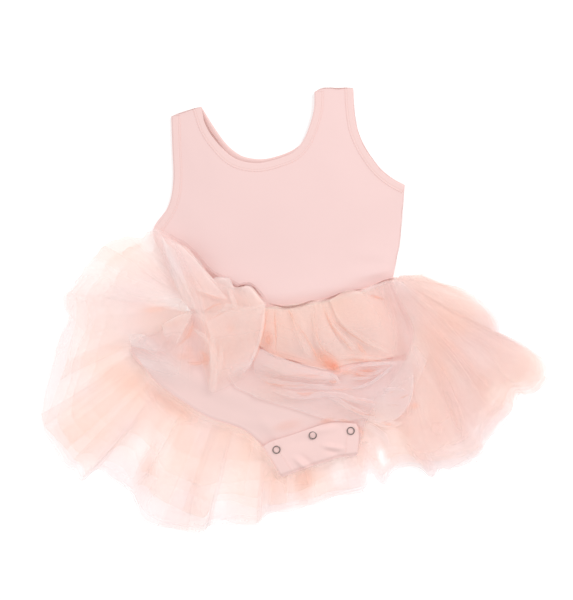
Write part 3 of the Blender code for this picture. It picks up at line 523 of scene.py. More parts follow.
# ------------------------------------------------------------------ bodice
PANEL_WALL = 0.7
BAND_RISE = 0.45
BAND_NEEDLES = (0.72, 0.93)  # places of the two rows of stitching, as shares of a band
BODICE_CREASES = [
    (98, 38, 54, 33, 0.9, 5), (97, 46, 62, 46, -0.5, 5), (96, 52, 60, 58, 0.7, 7),
    (92, 34, 60, 24, -0.6, 4), (70, 24, 30, 17, 0.5, 5), (-8, 12, 20, 30, 0.5, 7),
    (-118, 112, -62, 62, 0.9, 15), (-124, 96, -84, 40, -0.6, 12), (66, 166, 92, 128, 0.5, 8),
    (-110, 186, -100, 140, 0.5, 8), (40, 214, 46, 170, 0.4, 8), (100, 118, 70, 90, 0.6, 14),
    (-40, 120, 40, 60, 0.5, 30), (30, 130, 80, 60, -0.5, 24),
]


def back_height(xy):
    """Upper side of the back panel."""
    rim = line_away(xy, [BACK_NECK_LEFT, BACK_NECK_FLOOR, BACK_NECK_RIGHT])
    return 2.0 + 0.35 * (1 - ramp(6.5, 8.0, rim)) - 0.5 * (1 - ramp(0, 1.2, rim))


def front_height(xy):
    """Upper side of the front panel: lowest at its rims, fullest above the waist."""
    rim = line_away(xy, [LEFT_SIDE, RIGHT_SIDE, ARM_LEFT, ARM_RIGHT])
    waist = line_away(xy, [WAIST])
    neck = line_away(xy, [FRONT_NECK_LEFT, FRONT_NECK_FLOOR, FRONT_NECK_RIGHT])
    z = 3.6 + 2.6 * ramp(0, 50, rim) + 4.4 * (1 - ramp(2, 55, waist))
    z += 2.4 * np.exp(-((waist - 12.0) / 9.0) ** 2) * ramp(0, 14, rim)
    z -= 0.7 * (1 - ramp(0, 2.5, waist)) + 0.5 * (1 - ramp(0, 1.6, rim))
    z -= 0.5 * (1 - ramp(0, 12, neck))
    z += creases(xy, BODICE_CREASES)
    z += 0.35 * noise(xy[..., 0] / 46, xy[..., 1] / 60, 5)
    return z


verts, faces = joined_grids(bodice_grids(BACK_NECK_LEFT, BACK_NECK_FLOOR, BACK_NECK_RIGHT,
                                         14, 60, 26, 60), back_height)
piece = mesh_object("bodice_back_cloth", verts, faces, inside_jersey_painted_shade, PANEL_WALL)
dress(piece, ["bodice_back"])

front_grids = bodice_grids(FRONT_NECK_LEFT, FRONT_NECK_FLOOR, FRONT_NECK_RIGHT, 18, 90, 32, 84)
verts, faces = joined_grids(front_grids, front_height)
piece = mesh_object("bodice_front_cloth", verts, faces, jersey, PANEL_WALL)
dress(piece, ["bodice_front"])
for grid in front_grids:
    heap.lay(np.dstack([grid, front_height(grid)]))


def band(node, line, side, width, base, material):
    """Folded band along an edge, rounded at the rim, with the dents of two rows of stitching."""
    rim = even_line(dense_line(line, 20), 150)
    inward = directions(rim)[1] * side
    across = np.concatenate([np.linspace(-0.35, 0.6, 5), np.linspace(1.0, width, 20)])
    grid = rim[:, None] + inward[:, None] * across[None, :, None]
    covered = rim[:, None] + inward[:, None] * np.clip(across, 0.4, None)[None, :, None]
    z = base(covered) + BAND_RISE
    z -= 0.7 * (1 - ramp(-0.35, 1.0, across))[None]
    z -= (BAND_RISE + 0.25) * ramp(width - 0.7, width, across)[None]
    for needle in BAND_NEEDLES:
        z -= 0.32 * np.exp(-((across - needle * width) / 0.5) ** 2)[None]
    piece = grid_object(node + "_cloth", np.dstack([grid, z]), material)
    dress(piece, [node])


stitch_verts = []
stitch_faces = []
# One stitch: share of its length, half width, height; three points round each section
STITCH_SECTIONS = ((-0.5, 0.05, -0.15), (-0.25, 0.22, 0.1), (0.25, 0.22, 0.1), (0.5, 0.05, -0.15))
STITCH_ROUND = ((-1, -0.2), (0, 1), (1, -0.2))
STITCH_PITCH = 2.6
STITCH_LENGTH = 1.7


def stitches(line, side, offset, base):
    """Short threads along a line, moved in from the edge by offset."""
    rim = dense_line(line, 20)
    rim = even_line(rim, int(run_length(rim)[-1] / STITCH_PITCH))
    ahead, left = directions(rim)
    inward = left * side
    for point, along, over in zip(rim + inward * offset, ahead, inward):
        z = float(base(point[None])[0]) + 0.12
        start = len(stitch_verts)
        for share, wide, high in STITCH_SECTIONS:
            at = point + along * share * STITCH_LENGTH
            for out, up in STITCH_ROUND:
                spot = at + over * wide * out
                stitch_verts.append((spot[0], spot[1], z + high + 0.18 * up * (wide > 0.1)))
        for k in range(len(STITCH_SECTIONS) - 1):
            for m in range(2):
                a = start + k * 3 + m
                stitch_faces.append([a, a + 3, a + 4, a + 1])


NECK_FRONT = FRONT_NECK_LEFT + FRONT_NECK_FLOOR[1:] + FRONT_NECK_RIGHT[::-1][1:]
NECK_BACK = BACK_NECK_LEFT + BACK_NECK_FLOOR[1:] + BACK_NECK_RIGHT[::-1][1:]
band("neck_band_back", NECK_BACK, -1, 8.5, back_height, inside_jersey_painted_shade)
for node, line, side in (("neck_band_front", NECK_FRONT, -1), ("armhole_band_left", ARM_LEFT, 1),
                         ("armhole_band_right", ARM_RIGHT, -1)):
    band(node, line, side, 9.0, front_height, band_jersey)
    for offset in (6.5, 8.4):
        stitches(line, side, offset, lambda spots: front_height(spots) + 0.1)

# ------------------------------------------------------------------ skirt chart
ROOT_LINE = [(-108.5, 1), (-109.5, -3.5), (-103, -1.5), (-66.3, 0), (-33.2, 2),
             (-0.5, 5.5), (31.9, 12.4), (64, 21), (99, 32), (104.5, 31),
             (106, 33.5)]
# share along the root, hem x, hem y, reach of the second, third and fourth layers
HEM = [
    (0, -195.5, 56.5, 0.9, 0.78, 0.62), (0.01, -209.5, 38.5, 0.86, 0.74, 0.62),
    (0.02, -220.5, 22.5, 0.9, 0.78, 0.6), (0.03, -228.5, 15.5, 0.86, 0.74, 0.62),
    (0.04, -228.5, 2.5, 0.84, 0.72, 0.6), (0.05, -225.5, -8.5, 0.88, 0.76, 0.62),
    (0.06, -233.5, -24.5, 0.84, 0.7, 0.58), (0.072, -239.5, -44.5, 0.86, 0.74, 0.6),
    (0.085, -243.5, -62.5, 0.84, 0.74, 0.62), (0.098, -249.5, -82.5, 0.86, 0.74, 0.6),
    (0.112, -252.5, -103.5, 0.88, 0.8, 0.66), (0.127, -250, -118.5, 0.97, 0.88, 0.7),
    (0.144, -240.5, -131.5, 0.96, 0.9, 0.74), (0.162, -227.5, -153.5, 0.95, 0.88, 0.72),
    (0.182, -216.5, -159.5, 0.95, 0.84, 0.7), (0.203, -210.5, -170.5, 0.94, 0.8, 0.66),
    (0.225, -194.5, -158.5, 0.92, 0.78, 0.62), (0.247, -178.5, -169.5, 0.88, 0.74, 0.6),
    (0.268, -163.5, -181.5, 0.94, 0.82, 0.62), (0.288, -158, -195.5, 0.86, 0.76, 0.62),
    (0.308, -148.5, -210.5, 0.82, 0.72, 0.6), (0.33, -121.5, -219.5, 0.86, 0.72, 0.62),
    (0.353, -92.5, -222.5, 0.9, 0.78, 0.64), (0.373, -83.5, -213.5, 0.84, 0.78, 0.66),
    (0.393, -65.5, -214.5, 0.82, 0.76, 0.66), (0.415, -38, -214.5, 0.88, 0.8, 0.66),
    (0.436, -30, -205.5, 0.92, 0.82, 0.7), (0.456, -20.5, -202.5, 0.93, 0.84, 0.74),
    (0.478, -4.5, -201.5, 0.94, 0.86, 0.76), (0.5, 16.5, -195.5, 0.95, 0.88, 0.78),
    (0.524, 38.5, -188.5, 0.94, 0.88, 0.78), (0.548, 72, -180.5, 0.95, 0.88, 0.78),
    (0.572, 78.5, -165, 0.94, 0.84, 0.76), (0.597, 90.5, -175.5, 0.93, 0.86, 0.78),
    (0.622, 100.5, -159.5, 0.95, 0.9, 0.8), (0.648, 123.5, -156.5, 0.95, 0.88, 0.8),
    (0.674, 139.5, -168.5, 0.92, 0.86, 0.78), (0.698, 146.5, -160.5, 0.92, 0.86, 0.78),
    (0.722, 159.5, -160.5, 0.9, 0.84, 0.76), (0.746, 176.5, -153.5, 0.92, 0.84, 0.76),
    (0.77, 189.5, -141.5, 0.93, 0.86, 0.76), (0.793, 190.5, -131.5, 0.94, 0.86, 0.78),
    (0.815, 200.5, -121.5, 0.92, 0.86, 0.78), (0.836, 217.5, -104.5, 0.92, 0.86, 0.78),
    (0.856, 223.5, -84.5, 0.94, 0.88, 0.8), (0.874, 240, -83, 0.92, 0.86, 0.8),
    (0.892, 252.5, -68.5, 0.95, 0.88, 0.8), (0.909, 251.5, -52.5, 0.94, 0.9, 0.8),
    (0.925, 230.5, -35.5, 0.95, 0.9, 0.8), (0.94, 208.5, -25.5, 0.96, 0.9, 0.82),
    (0.954, 204.5, -12.5, 0.95, 0.9, 0.8), (0.967, 194, 2.5, 0.95, 0.9, 0.8),
    (0.98, 174.5, 18, 0.94, 0.88, 0.8), (0.991, 151.5, 26.5, 0.94, 0.86, 0.8),
    (1, 129, 35.5, 0.94, 0.86, 0.8),
]
ROOT_POINTS = 800
LAYER_SPREAD = 0.62  # how much of the charted step between layers is kept


class Chart:
    """Radial lines from a gathered root to a hem; c runs from 0 to 1 along the hem."""

    def __init__(self, root_line, rows):
        table = np.array(rows, dtype=float)
        self.root_dense = even_line(dense_line(root_line, 24), ROOT_POINTS)
        self.hem = dense_line(table[:, 1:3], 10)
        place = np.linspace(0, len(table) - 1, len(self.hem))
        self.columns = [np.interp(place, np.arange(len(table)), table[:, k])
                        for k in [0] + list(range(3, table.shape[1]))]

    def pick(self, values, c):
        """Value at c of something sampled along the hem."""
        return np.interp(np.clip(c, 0, 1), np.linspace(0, 1, len(values)), values)

    def root(self, c):
        """Root point."""
        at = self.pick(self.columns[0], c) * (ROOT_POINTS - 1)
        return np.stack([np.interp(at, np.arange(ROOT_POINTS), self.root_dense[:, k])
                         for k in range(2)], axis=-1)

    def edge(self, c):
        """Hem point."""
        return np.stack([self.pick(self.hem[:, k], c) for k in range(2)], axis=-1)

    def share(self, layer, c):
        """Reach of a layer: 0 is the outermost."""
        if layer == 0:
            return np.ones_like(c)
        return 1 - LAYER_SPREAD * (1 - self.pick(self.columns[layer], c))


# Section of a flattened fold: place across it, height
FLAT_FOLD = [(-0.5, 0), (-0.3, 0.12), (0, 0.25), (0.3, 0.38), (0.44, 0.5), (0.5, 0.66),
             (0.46, 0.84), (0.34, 0.96), (0.1, 1), (-0.1, 0.94), (-0.26, 0.8), (-0.38, 0.6)]
# Where the leotard lies on the skirt: x, y, half sizes
PRESSED = [(-40, -55, 92, 80), (22, -110, 70, 80), (-115, -45, 55, 55)]


def fold_profile(lean, count=22):
    """Section of a flattened fold: places from -0.5 to 0.5, and heights from 0 to 1."""
    line = smooth_line(FLAT_FOLD, count)
    return line[:, 0] * lean, line[:, 1]


def crest(u, v, seed):
    """Folds with narrow crests that run along v, about -1 to 1."""
    big = 1 - 2.4 * np.abs(noise(u, v, seed)) ** 0.85
    small = 1 - 2.4 * np.abs(noise(u * 2.3 + 5, v * 1.4, seed + 50)) ** 0.85
    return 0.84 * big + 0.16 * small


def freedom(xy):
    """0 where the leotard presses the skirt flat, 1 elsewhere."""
    free = np.ones(xy.shape[:-1])
    for x, y, half_x, half_y in PRESSED:
        away = np.hypot((xy[..., 0] - x) / half_x, (xy[..., 1] - y) / half_y)
        free = free * ramp(0.65, 1.45, away)
    return free


# Places where the gathered net is fuller or thinner: x, y, half sizes, turn, amount
FULL_PLACES = [
    (-152.5, -136.5, 8, 18, -22, -0.4), (-130.5, -146.5, 9, 20, -15, -0.35),
    (-75.5, -192.5, 9, 18, 0, -0.35), (-61.5, -172.5, 18, 18, 0, -0.35), (88, -145.5, 4, 8, 12, -1),
    (91.5, -152.5, 5, 4.5, 0, -0.8), (76.5, -169.5, 4, 8, 0, -0.7), (80, -140, 12, 12, 0, 0.2),
    (199.5, -78.5, 26, 24, 30, 0.15), (163, 13, 45, 15, -32, -0.25), (10, -172, 9, 22, 0, 1.2),
    (45, -163, 9, 16, 0, -0.5), (-124, -92, 26, 14, -35, 0.5), (-14, -190, 13, 26, 0, 0.4),
    (-100, -185, 9, 26, 6, 0.3), (-148, -174, 10, 24, -20, 0.5), (138, -120, 15, 11, 0, 0.25),
    (-240, 0, 14, 60, 8, 0.35), (-200, -95, 34, 26, 30, -0.2), (130, -150, 50, 9, 0, 0.4),
    (-190, -170, 26, 12, -25, 0.4), (-182, -5, 20, 24, 0, -0.3), (-118, -95, 26, 9, -38, 0.5),
    (-160, -72, 34, 12, -25, 0.25), (201.5, -84, 8, 12, -20, -0.6), (-208, -160, 12, 10, 40, -0.5),
    (-98.5, -165.5, 32, 24, 0, -0.22), (-146, -154, 7, 20, -20, 0.5), (-24, -178, 7, 20, 0, 0.4),
    (69, -148, 7, 20, 0, 0.5), (160, -40, 60, 6, -46, 0.4), (185, -27, 45, 7, -27, 0.25),
    (155, -82, 50, 7, -73, 0.4), (166, -70, 40, 5, -52, -0.25), (128, -96, 30, 6, -80, -0.2),
    (205, -20, 40, 5, -20, -0.2), (-150, 27, 36, 18, -10, 1), (-132, -7, 18, 12, 0, 0.1),
    (208, -62, 44, 20, -30, -0.15), (-180, 60, 50, 15, 35, 0.9), (199, -115, 20, 9, 54, 0.5),
    (202, -13, 14, 8, -50, 0.5), (108, -90, 14, 22, 0, 0.4), (112, -28, 14, 20, 0, -0.4),
]


def fullness(xy):
    """How full the gathered net is at some places."""
    full = np.ones(xy.shape[:-1])
    for x, y, half_x, half_y, turn, amount in FULL_PLACES:
        c, s = turned(turn)
        dx, dy = xy[..., 0] - x, xy[..., 1] - y
        u = (c * dx + s * dy) / half_x
        v = (-s * dx + c * dy) / half_y
        full = full * (1 + amount * np.exp(-(u * u + v * v) ** 1.5))
    return full


HEM_JAG = 0.014
FAN_WARP = 2.4


def fan(chart, layer, c0, high, rows, seed, crests, swell=7.0, press=True, reach_by=1.0):
    """Grid of a gathered layer: c0 and high say where its columns meet the hem, and how high."""
    t = np.linspace(0.0, 1.0, rows)
    tt, cc = np.meshgrid(t, c0, indexing="ij")
    hh = np.broadcast_to(high, cc.shape)
    drift = 0.008 * noise(cc * 22, tt * 1.4, seed) + 0.0008 * noise(cc * 60, tt * 2.0, seed + 7)
    cc = np.clip(cc + drift * tt, 0, 1)
    reach = chart.share(layer, cc) * reach_by
    reach = reach * (1 + HEM_JAG * noise(cc * 46, 0 * cc, seed + 1)
                     + 0.05 * HEM_JAG * noise(cc * 120, 0 * cc, seed + 8))
    along = tt * reach
    xy = chart.root(cc) * (1 - along[..., None]) + chart.edge(cc) * along[..., None]
    xy = (xy + FAN_WARP * wander(xy, 34, seed + 2) * ramp(0.05, 0.5, tt)[..., None]
          * (1 - 0.5 * tt[..., None]))
    free = freedom(xy) if press else 1.0
    wave = crest(cc * crests + 0.5 * noise(cc * 9, tt * 1.8, seed + 6), tt * 1.2, seed + 4)
    z = hh * tt ** 0.8 + swell * (0.5 + 0.42 * wave) * tt ** 1.4
    full = fullness(xy) * (1 + 0.25 * ramp(0.97, 1.0, tt))
    full = full * (1 + 0.2 * noise(cc * 15, tt * 1.2, seed + 9) * ramp(0, 0.3, tt))
    return np.dstack([xy, z * (0.10 + 0.90 * free), full])


def wedge(chart, layer, c, width, height, lean, seed, rows=38, **more):
    """Flattened fold that widens from the root to the hem."""
    side, high = fold_profile(lean)
    out = fan(chart, layer, c + side * width, high * height, rows, seed, **more)
    out[..., 3] *= 0.6
    return out


skirt = Chart(ROOT_LINE, HEM)


def hem_place(x, y):
    """c of the hem point nearest to a place."""
    nearest = np.argmin(np.hypot(skirt.hem[:, 0] - x, skirt.hem[:, 1] - y))
    return float(nearest) / (len(skirt.hem) - 1)


# Folds that stand out in the spread skirt: hem x, hem y, width, height, lean
WEDGES = {
    0: [(-252, -108, 0.018, 4, -1), (-205, -165, 0.02, 5, 1),
        (-122, -219, 0.024, 5, 1), (-84, -214, 0.014, 6, -1), (-33, -210, 0.012, 6, 1),
        (60, -183, 0.02, 5, 1), (140, -165, 0.02, 5, -1), (248, -70, 0.02, 5, 1),
        (232, -36, 0.018, 5, -1)],
    1: [(-236, -135, 0.024, 4, 1), (-215, -162, 0.03, 5, -1), (-152, -205, 0.024, 5, 1),
        (-100, -222, 0.024, 5, -1), (-20, -202, 0.024, 5, 1), (35, -188, 0.024, 5, 1),
        (100, -160, 0.022, 5, -1), (185, -145, 0.026, 5, 1), (225, -90, 0.024, 5, -1),
        (-243, -70, 0.026, 5, 1)],
    2: [(-243, -125, 0.04, 5, 1), (-200, -165, 0.03, 5, 1), (-158, -196, 0.018, 6, -1),
        (-70, -214, 0.03, 5, 1), (5, -198, 0.03, 5, -1), (120, -156, 0.028, 5, 1),
        (200, -120, 0.03, 5, -1), (250, -60, 0.03, 5, 1), (-225, -150, 0.034, 5, -1)],
    3: [(-230, -20, 0.03, 5, 1), (-240, -110, 0.036, 5, 1), (-180, -170, 0.034, 5, -1),
        (-90, -220, 0.03, 5, 1), (30, -190, 0.03, 5, -1), (210, -110, 0.03, 5, 1)],
}
# name, solids, layer of the reach table, reach, crests, seed, with folds
LAYERS = [
    ("tulle_back_outer_cloth", ["tulle_back_outer"], 0, 1.006, 24, 11, True),
    ("tulle_back_lining_cloth", [], 0, 0.999, 20, 21, False),
    ("tulle_back_under_cloth", [], 0, 0.991, 17, 41, False),
    ("tulle_back_middle_cloth", ["tulle_back_middle"], 1, 1.00, 22, 31, True),
    ("tulle_back_inner_cloth", ["tulle_back_inner"], 2, 1.00, 19, 51, True),
    ("tulle_back_short_cloth", [], 3, 1.02, 22, 61, True),
    ("tulle_back_shortest_cloth", [], 3, 0.9, 17, 71, False),
]
SKIRT_COLUMNS = np.linspace(0, 1, 480)
SKIRT_ROWS = 44
FIRST_LAYER = 0.6  # height of the lowest layer, and the step up to each next one
LAYER_STEP = 0.55
laid = []
for k, (name, nodes, layer, reach, crests, seed, folded) in enumerate(LAYERS):
    grids = [fan(skirt, layer, SKIRT_COLUMNS, 0.0, SKIRT_ROWS, seed, crests, reach_by=reach)]
    grids[0][..., 3] *= ramp(0, 0.06, SKIRT_COLUMNS)[None, :]
    if folded:
        grids += [wedge(skirt, layer, hem_place(x, y), width, height, lean, seed, crests=crests,
                        reach_by=reach) for x, y, width, height, lean in WEDGES[layer]]
    for xyz in grids:
        xyz[..., 2] += FIRST_LAYER + LAYER_STEP * k
    net_piece(name, nodes, grids, tulle if layer == 0 else tulle_inner)
    laid.append(grids[0])
for xyz in laid:
    heap.lay(xyz)

# ------------------------------------------------------------------ brief and crotch tab
BRIEF_TOP = [(-100, -3.8), (-66.3, -2), (-33.2, 0), (-0.5, 3.5), (31.9, 10.5), (64, 19),
             (97, 28.6)]
BRIEF_LEFT = [(-100, -3.8), (-132, -22), (-162.5, -38.5), (-142.5, -67.5), (-125.5, -82.5),
              (-109.5, -93.5), (-85.5, -108.5), (-51.5, -120.5), (-31.5, -137),
              (-14.5, -160)]
BRIEF_RIGHT = [(97, 28.6), (108, 7), (120, -22), (112, -50), (92, -80),
               (74, -108), (64, -140.5)]
BRIEF_END = [(-14.5, -160), (25, -150), (64, -140.5)]
BACK_END = [(-12.5, -166), (4.5, -161), (35, -151), (63.5, -145)]
BRIEF_CREASES = [
    (-130, -52, -60, -86, 1, 10), (-118, -74, -40, -108, -0.7, 8), (-50, -40, 20, -96, 1.2, 18),
    (-36, -104, -8, -138, 0.8, 6), (-60, -110, -10, -118, 0.7, 6), (0, -84, 30, -112, 0.8, 8),
]
back_left = [(x + 2.5, y + 1.8) for x, y in BRIEF_LEFT[:-1]] + [BACK_END[0]]
back_right = [(x - 2.0, y + 1.0) for x, y in BRIEF_RIGHT[:-1]] + [BACK_END[-1]]
back_top = [back_left[0]] + BRIEF_TOP[1:-1] + [back_right[0]]
grid = patch_grid(back_top, BACK_END, back_left, back_right, 70, 70)
xyz = np.dstack([grid, heap.under(grid, 3.0, 10.0) + 1.0])
piece = grid_object("brief_back_cloth", xyz, inside_jersey_painted_shade, PANEL_WALL)
dress(piece, ["brief_back"])
heap.lay(xyz)

grid = patch_grid(BRIEF_TOP, BRIEF_END, BRIEF_LEFT, BRIEF_RIGHT, 110, 90)
rim = line_away(grid, [BRIEF_LEFT[2:], BRIEF_RIGHT[2:]])
z = heap.under(grid, 2.0, 12.0) + 1.0 + 2.0 * ramp(0, 40, rim)
z += 0.5 * (1 - ramp(3.2, 4.6, rim)) - 1.2 * (1 - ramp(0, 5.0, rim))
xyz = np.dstack([grid, z + creases(grid, BRIEF_CREASES)])
piece = grid_object("brief_front_cloth", xyz, brief_jersey, 0.2)
dress(piece, ["brief_front", "leg_hem_left", "leg_hem_right"])
heap.lay(xyz)

TAB_TOP = [(-31.5, -137.5), (-21.5, -131.5), (-2.5, -125.5), (14.5, -119.5), (31.5, -114),
           (45.5, -112.5), (62.5, -114)]
TAB_FOLD = [(-12, -167.5), (4.5, -161.5), (21.5, -155.5), (35, -151.5), (45.5, -148),
            (63.5, -146)]
TAB_LEFT = [TAB_TOP[0], (-22, -152), TAB_FOLD[0]]
TAB_RIGHT = [TAB_TOP[-1], (65.5, -121), (65, -134), TAB_FOLD[-1]]
TAB_CREASES = [
    (2, -149, 14, -160, 2.3, 2.8), (8, -146, 20, -156, -1.3, 2.8), (30, -136, 50, -139, 2.2, 2.6),
    (32, -141, 46, -144, -1.2, 2.6), (14, -122, 44, -118, 1.2, 4), (-4, -134, 24, -128, -0.8, 5),
    (-14, -156, -4, -134, 0.5, 4), (24, -150, 36, -130, 0.6, 5),
]
grid = patch_grid(TAB_TOP, TAB_FOLD, TAB_LEFT, TAB_RIGHT, 48, 88)
end_away = np.minimum(line_away(grid, [TAB_LEFT]), line_away(grid, [TAB_RIGHT]))
fold_away = line_away(grid, [TAB_FOLD])
z = heap.under(grid, 2.0, 7.0) + 2.2 + creases(grid, TAB_CREASES)
z += 0.55 * (1 - ramp(13.0, 14.2, end_away)) - 0.3 * np.exp(-((end_away - 12) / 0.6) ** 2)
z -= 2.6 * (1 - ramp(0, 4.0, fold_away)) + 0.9 * (1 - ramp(0, 1.4, end_away))
tab = np.dstack([grid, z])
piece = grid_object("crotch_tab_cloth", tab, tab_jersey_painted_light, 1.3)
dress(piece, ["crotch_tab", "leg_band_left", "leg_band_right"])
heap.lay(tab)


def tab_level(points):
    """Height of the tab at some points."""
    spots = tab.reshape(-1, 3)
    near = [np.argmin(np.hypot(spots[:, 0] - x, spots[:, 1] - y))
            for x, y in points.reshape(-1, 2)]
    return spots[near, 2].reshape(points.shape[:-1])


stitches(TAB_LEFT, 1, 12.0, tab_level)
stitches(TAB_RIGHT, -1, 12.0, tab_level)

# Section of a snap's ring cap, from its inner rim over its lip: radius, height
SNAP_RING = [(3.1, 0), (3.05, 0.4), (3.15, 0.8), (3.35, 1.05), (3.6, 1.1), (3.85, 0.95),
             (4, 0.55), (3.95, 0)]
SNAP_TURNS = 40


def snap(name, node, x, y):
    """Ring cap of a press snap, on the tab."""
    z = float(tab_level(np.array([[x, y]]))[0]) + 0.1
    angles = np.linspace(0, 2 * math.pi, SNAP_TURNS, endpoint=False)
    verts = [(x + radius * math.cos(a), y + radius * math.sin(a), z + high)
             for radius, high in SNAP_RING for a in angles]
    faces = []
    for i in range(len(SNAP_RING) - 1):
        for k in range(SNAP_TURNS):
            a = i * SNAP_TURNS + k
            b = i * SNAP_TURNS + (k + 1) % SNAP_TURNS
            faces.append([a, b, b + SNAP_TURNS, a + SNAP_TURNS])
    dress(mesh_object(name, verts, faces, snap_metal), [node])


snap("snap_left_cap", "snap_left", -17.0, -139.9)
snap("snap_middle_cap", "snap_middle", 19.2, -125.5)
snap("snap_right_cap", "snap_right", 57.1, -121.1)


# ------------------------------------------------------------------ front layers
def flowing(grid, count, high, seed, table, base, down, side=0.3):
    """Thin cloth on the heap, its folds running down the patch."""
    rows, cols, _ = grid.shape
    tt, ss = np.meshgrid(np.linspace(0, 1, rows), np.linspace(0, 1, cols), indexing="ij")
    away = grid + 3.5 * wander(grid, 18, seed + 2)
    lean = ss * count + side * count * 0.2 * noise(ss * 3, tt * 2.5, seed + 4)
    z = heap.under(grid, 2.0, 6.0) + base
    z = z + ridges(away, table) + high * (crest(lean, tt * down, seed) * 0.6 + 0.7)
    return np.dstack([grid, z]), ss, tt


STRIP_ROWS = 36


def strip(points, widths, height, lean, seed, base, full):
    """Flattened fold along a line, lying on the heap; widths run along the line."""
    line = smooth_line(points, STRIP_ROWS)
    across = directions(line)[1]
    side, high = fold_profile(lean, 16)
    t = np.linspace(0, 1, STRIP_ROWS)
    wide = np.interp(t, np.linspace(0, 1, len(widths)), widths)
    wide = wide * (1 + 0.15 * noise(t * 5, 0 * t, seed))
    xy = line[:, None] + across[:, None] * (wide[:, None] * side[None])[..., None]
    xy = xy + 0.6 * wander(xy, 9, seed + 1)
    rise = height * high[None] * taper(t, 6, 0.25)[:, None]
    z = heap.under(line[:, None], 2.0, 4.0) + base + rise
    return with_fullness(np.dstack([xy, z]), (full * taper(t, 4))[:, None])


def strips(table, seed, base=1.0, full=1.0):
    """Grids of several flattened folds; a row is points, widths, height, lean."""
    return [strip(*row, seed + 5 * k, base, full) for k, row in enumerate(table)]


def lines(table, height, seed, base, full=1.0):
    """Grids of several low folds of one height, laid as thin strips of tinted net: painted shade
    lines; a row is points, widths.
    """
    return strips([(points, widths, height, 1) for points, widths in table], seed, base, full)


def apron(points, reach, lift, full):
    """Net that slopes from an edge of jersey down to the skirt."""
    line = smooth_line(points, 90)
    share = np.linspace(0, 1, 12)
    xy = line[:, None] - directions(line)[1][:, None] * (reach * share - 0.5)[None, :, None]
    top = heap.under(line[:, None], 1.0, 2.0)
    low = heap.under(xy, 2.0, 6.0)
    slope = 1 - ramp(0, 1, share)[None]
    fade = full * slope * taper(np.linspace(0, 1, len(line)), 6)[:, None]
    return with_fullness(np.dstack([xy, low + (top - low) * slope + lift]), fade)


# The aprons are dense warm net: besides lifting the skirt to the jersey's edge, they paint light
# over the shade beside the edges of the brief and the tab
aprons = [apron(BRIEF_LEFT[2:], 10.0, 0.1, 1.3), apron(BRIEF_LEFT[2:], 15.0, 0.3, 0.9),
          apron(TAB_LEFT, 7.0, 0.1, 1.0), apron(TAB_FOLD, 6.0, 0.1, 1.0)]
net_piece("tulle_back_puffs", [], aprons, tulle_crumple)

FACET_COUNT = 24


def facet(points, bulge, lift, soft, full, seed):
    """Four-sided facet of net; eight points go round, corners first and mid-sides between.

    The letters in soft name the sides that fade out: top, bottom, left, right.
    """
    p = points
    grid = patch_grid([p[0], p[1], p[2]], [p[6], p[5], p[4]], [p[0], p[7], p[6]],
                      [p[2], p[3], p[4]], FACET_COUNT, FACET_COUNT)
    ss = np.linspace(0, 1, FACET_COUNT)[None, :]
    tt = np.linspace(0, 1, FACET_COUNT)[:, None]
    fade = full * np.ones((FACET_COUNT, FACET_COUNT))
    for side, away in (("t", tt), ("b", 1 - tt), ("l", ss), ("r", 1 - ss)):
        if side in soft:
            fade = fade * ramp(0, 0.55, away)
    rise = bulge * (np.sin(math.pi * ss) * np.sin(math.pi * tt)) ** 0.7
    rise = rise + 0.5 * noise(grid[..., 0] / 8, grid[..., 1] / 8, seed)
    return with_fullness(np.dstack([grid, heap.under(grid, 2.0, 5.0) + lift + rise]), fade)


def facets(table, seed):
    """Grids of several facets; a row is points, bulge, lift, soft sides, fullness."""
    return [facet(*row, seed + 3 * k) for k, row in enumerate(table)]


def shade_patches(table, lift, full):
    """Oval patches of tinted net laid in deep places between folds, softest at their rims: painted
    shade; a row is centre, half sizes, turn.
    """
    out = []
    turns = np.linspace(0, 2 * math.pi, 33)
    size = np.linspace(0.04, 1.0, 10)[:, None]
    for (x, y), half_x, half_y, turn in table:
        c, s = turned(turn)
        wobble = 1 + 0.10 * noise(turns * 1.3, 0 * turns, int(x + y) % 50 + 3)
        wobble[-1] = wobble[0]
        u = half_x * size * np.cos(turns) * wobble
        v = half_y * size * np.sin(turns) * wobble
        xyz = np.dstack([x + c * u - s * v, y + s * u + c * v, 0 * u])
        xyz[..., 2] = heap.under(xyz[..., :2], 2.0, 3.0) + lift
        out.append(with_fullness(xyz, full * (1 - size ** 2) ** 1.5))
    return out


FAN_SHEETS = 3
FAN_COLUMNS = np.linspace(0, 1, 260)
FAN_ROWS = 50


def front_fan(name, node, root, hem, wedges, ridge_table, more, profile, material, seed, sink,
              crests):
    """Three sheets of a front fan, laid on the heap; the profile is its fullness along the hem."""
    chart = Chart(root, [(i / (len(hem) - 1), *row) for i, row in enumerate(hem)])
    out = np.linspace(0, 1, FAN_ROWS)[:, None]
    grids = []
    for k in range(FAN_SHEETS):
        own = seed + 30 * k
        part = [fan(chart, k, FAN_COLUMNS, 0.0, FAN_ROWS, own, crests, 6.0, False)]
        part[0][..., 3] *= np.interp(FAN_COLUMNS, *profile)[None, :]
        for c, width, height, lean in wedges[k]:
            part.append(wedge(chart, k, c, width, height, lean, own, FAN_ROWS, crests=crests,
                              swell=6.0, press=False))
        for xyz in part:
            base = heap.under(xyz[..., :2], 2.0, 9.0) * sink + 1.2 + 0.5 * k
            crease = ridges(xyz[..., :2], ridge_table) * ramp(0, 0.15, out)
            xyz[..., 2] += base + crease + 4.0 * np.sin(math.pi * out) ** 0.8
        grids += part
    heap.lay(grids[0])
    grids += strips(more, seed + 200, 0.4, 0.75)
    net_piece(name, [node], grids, material)


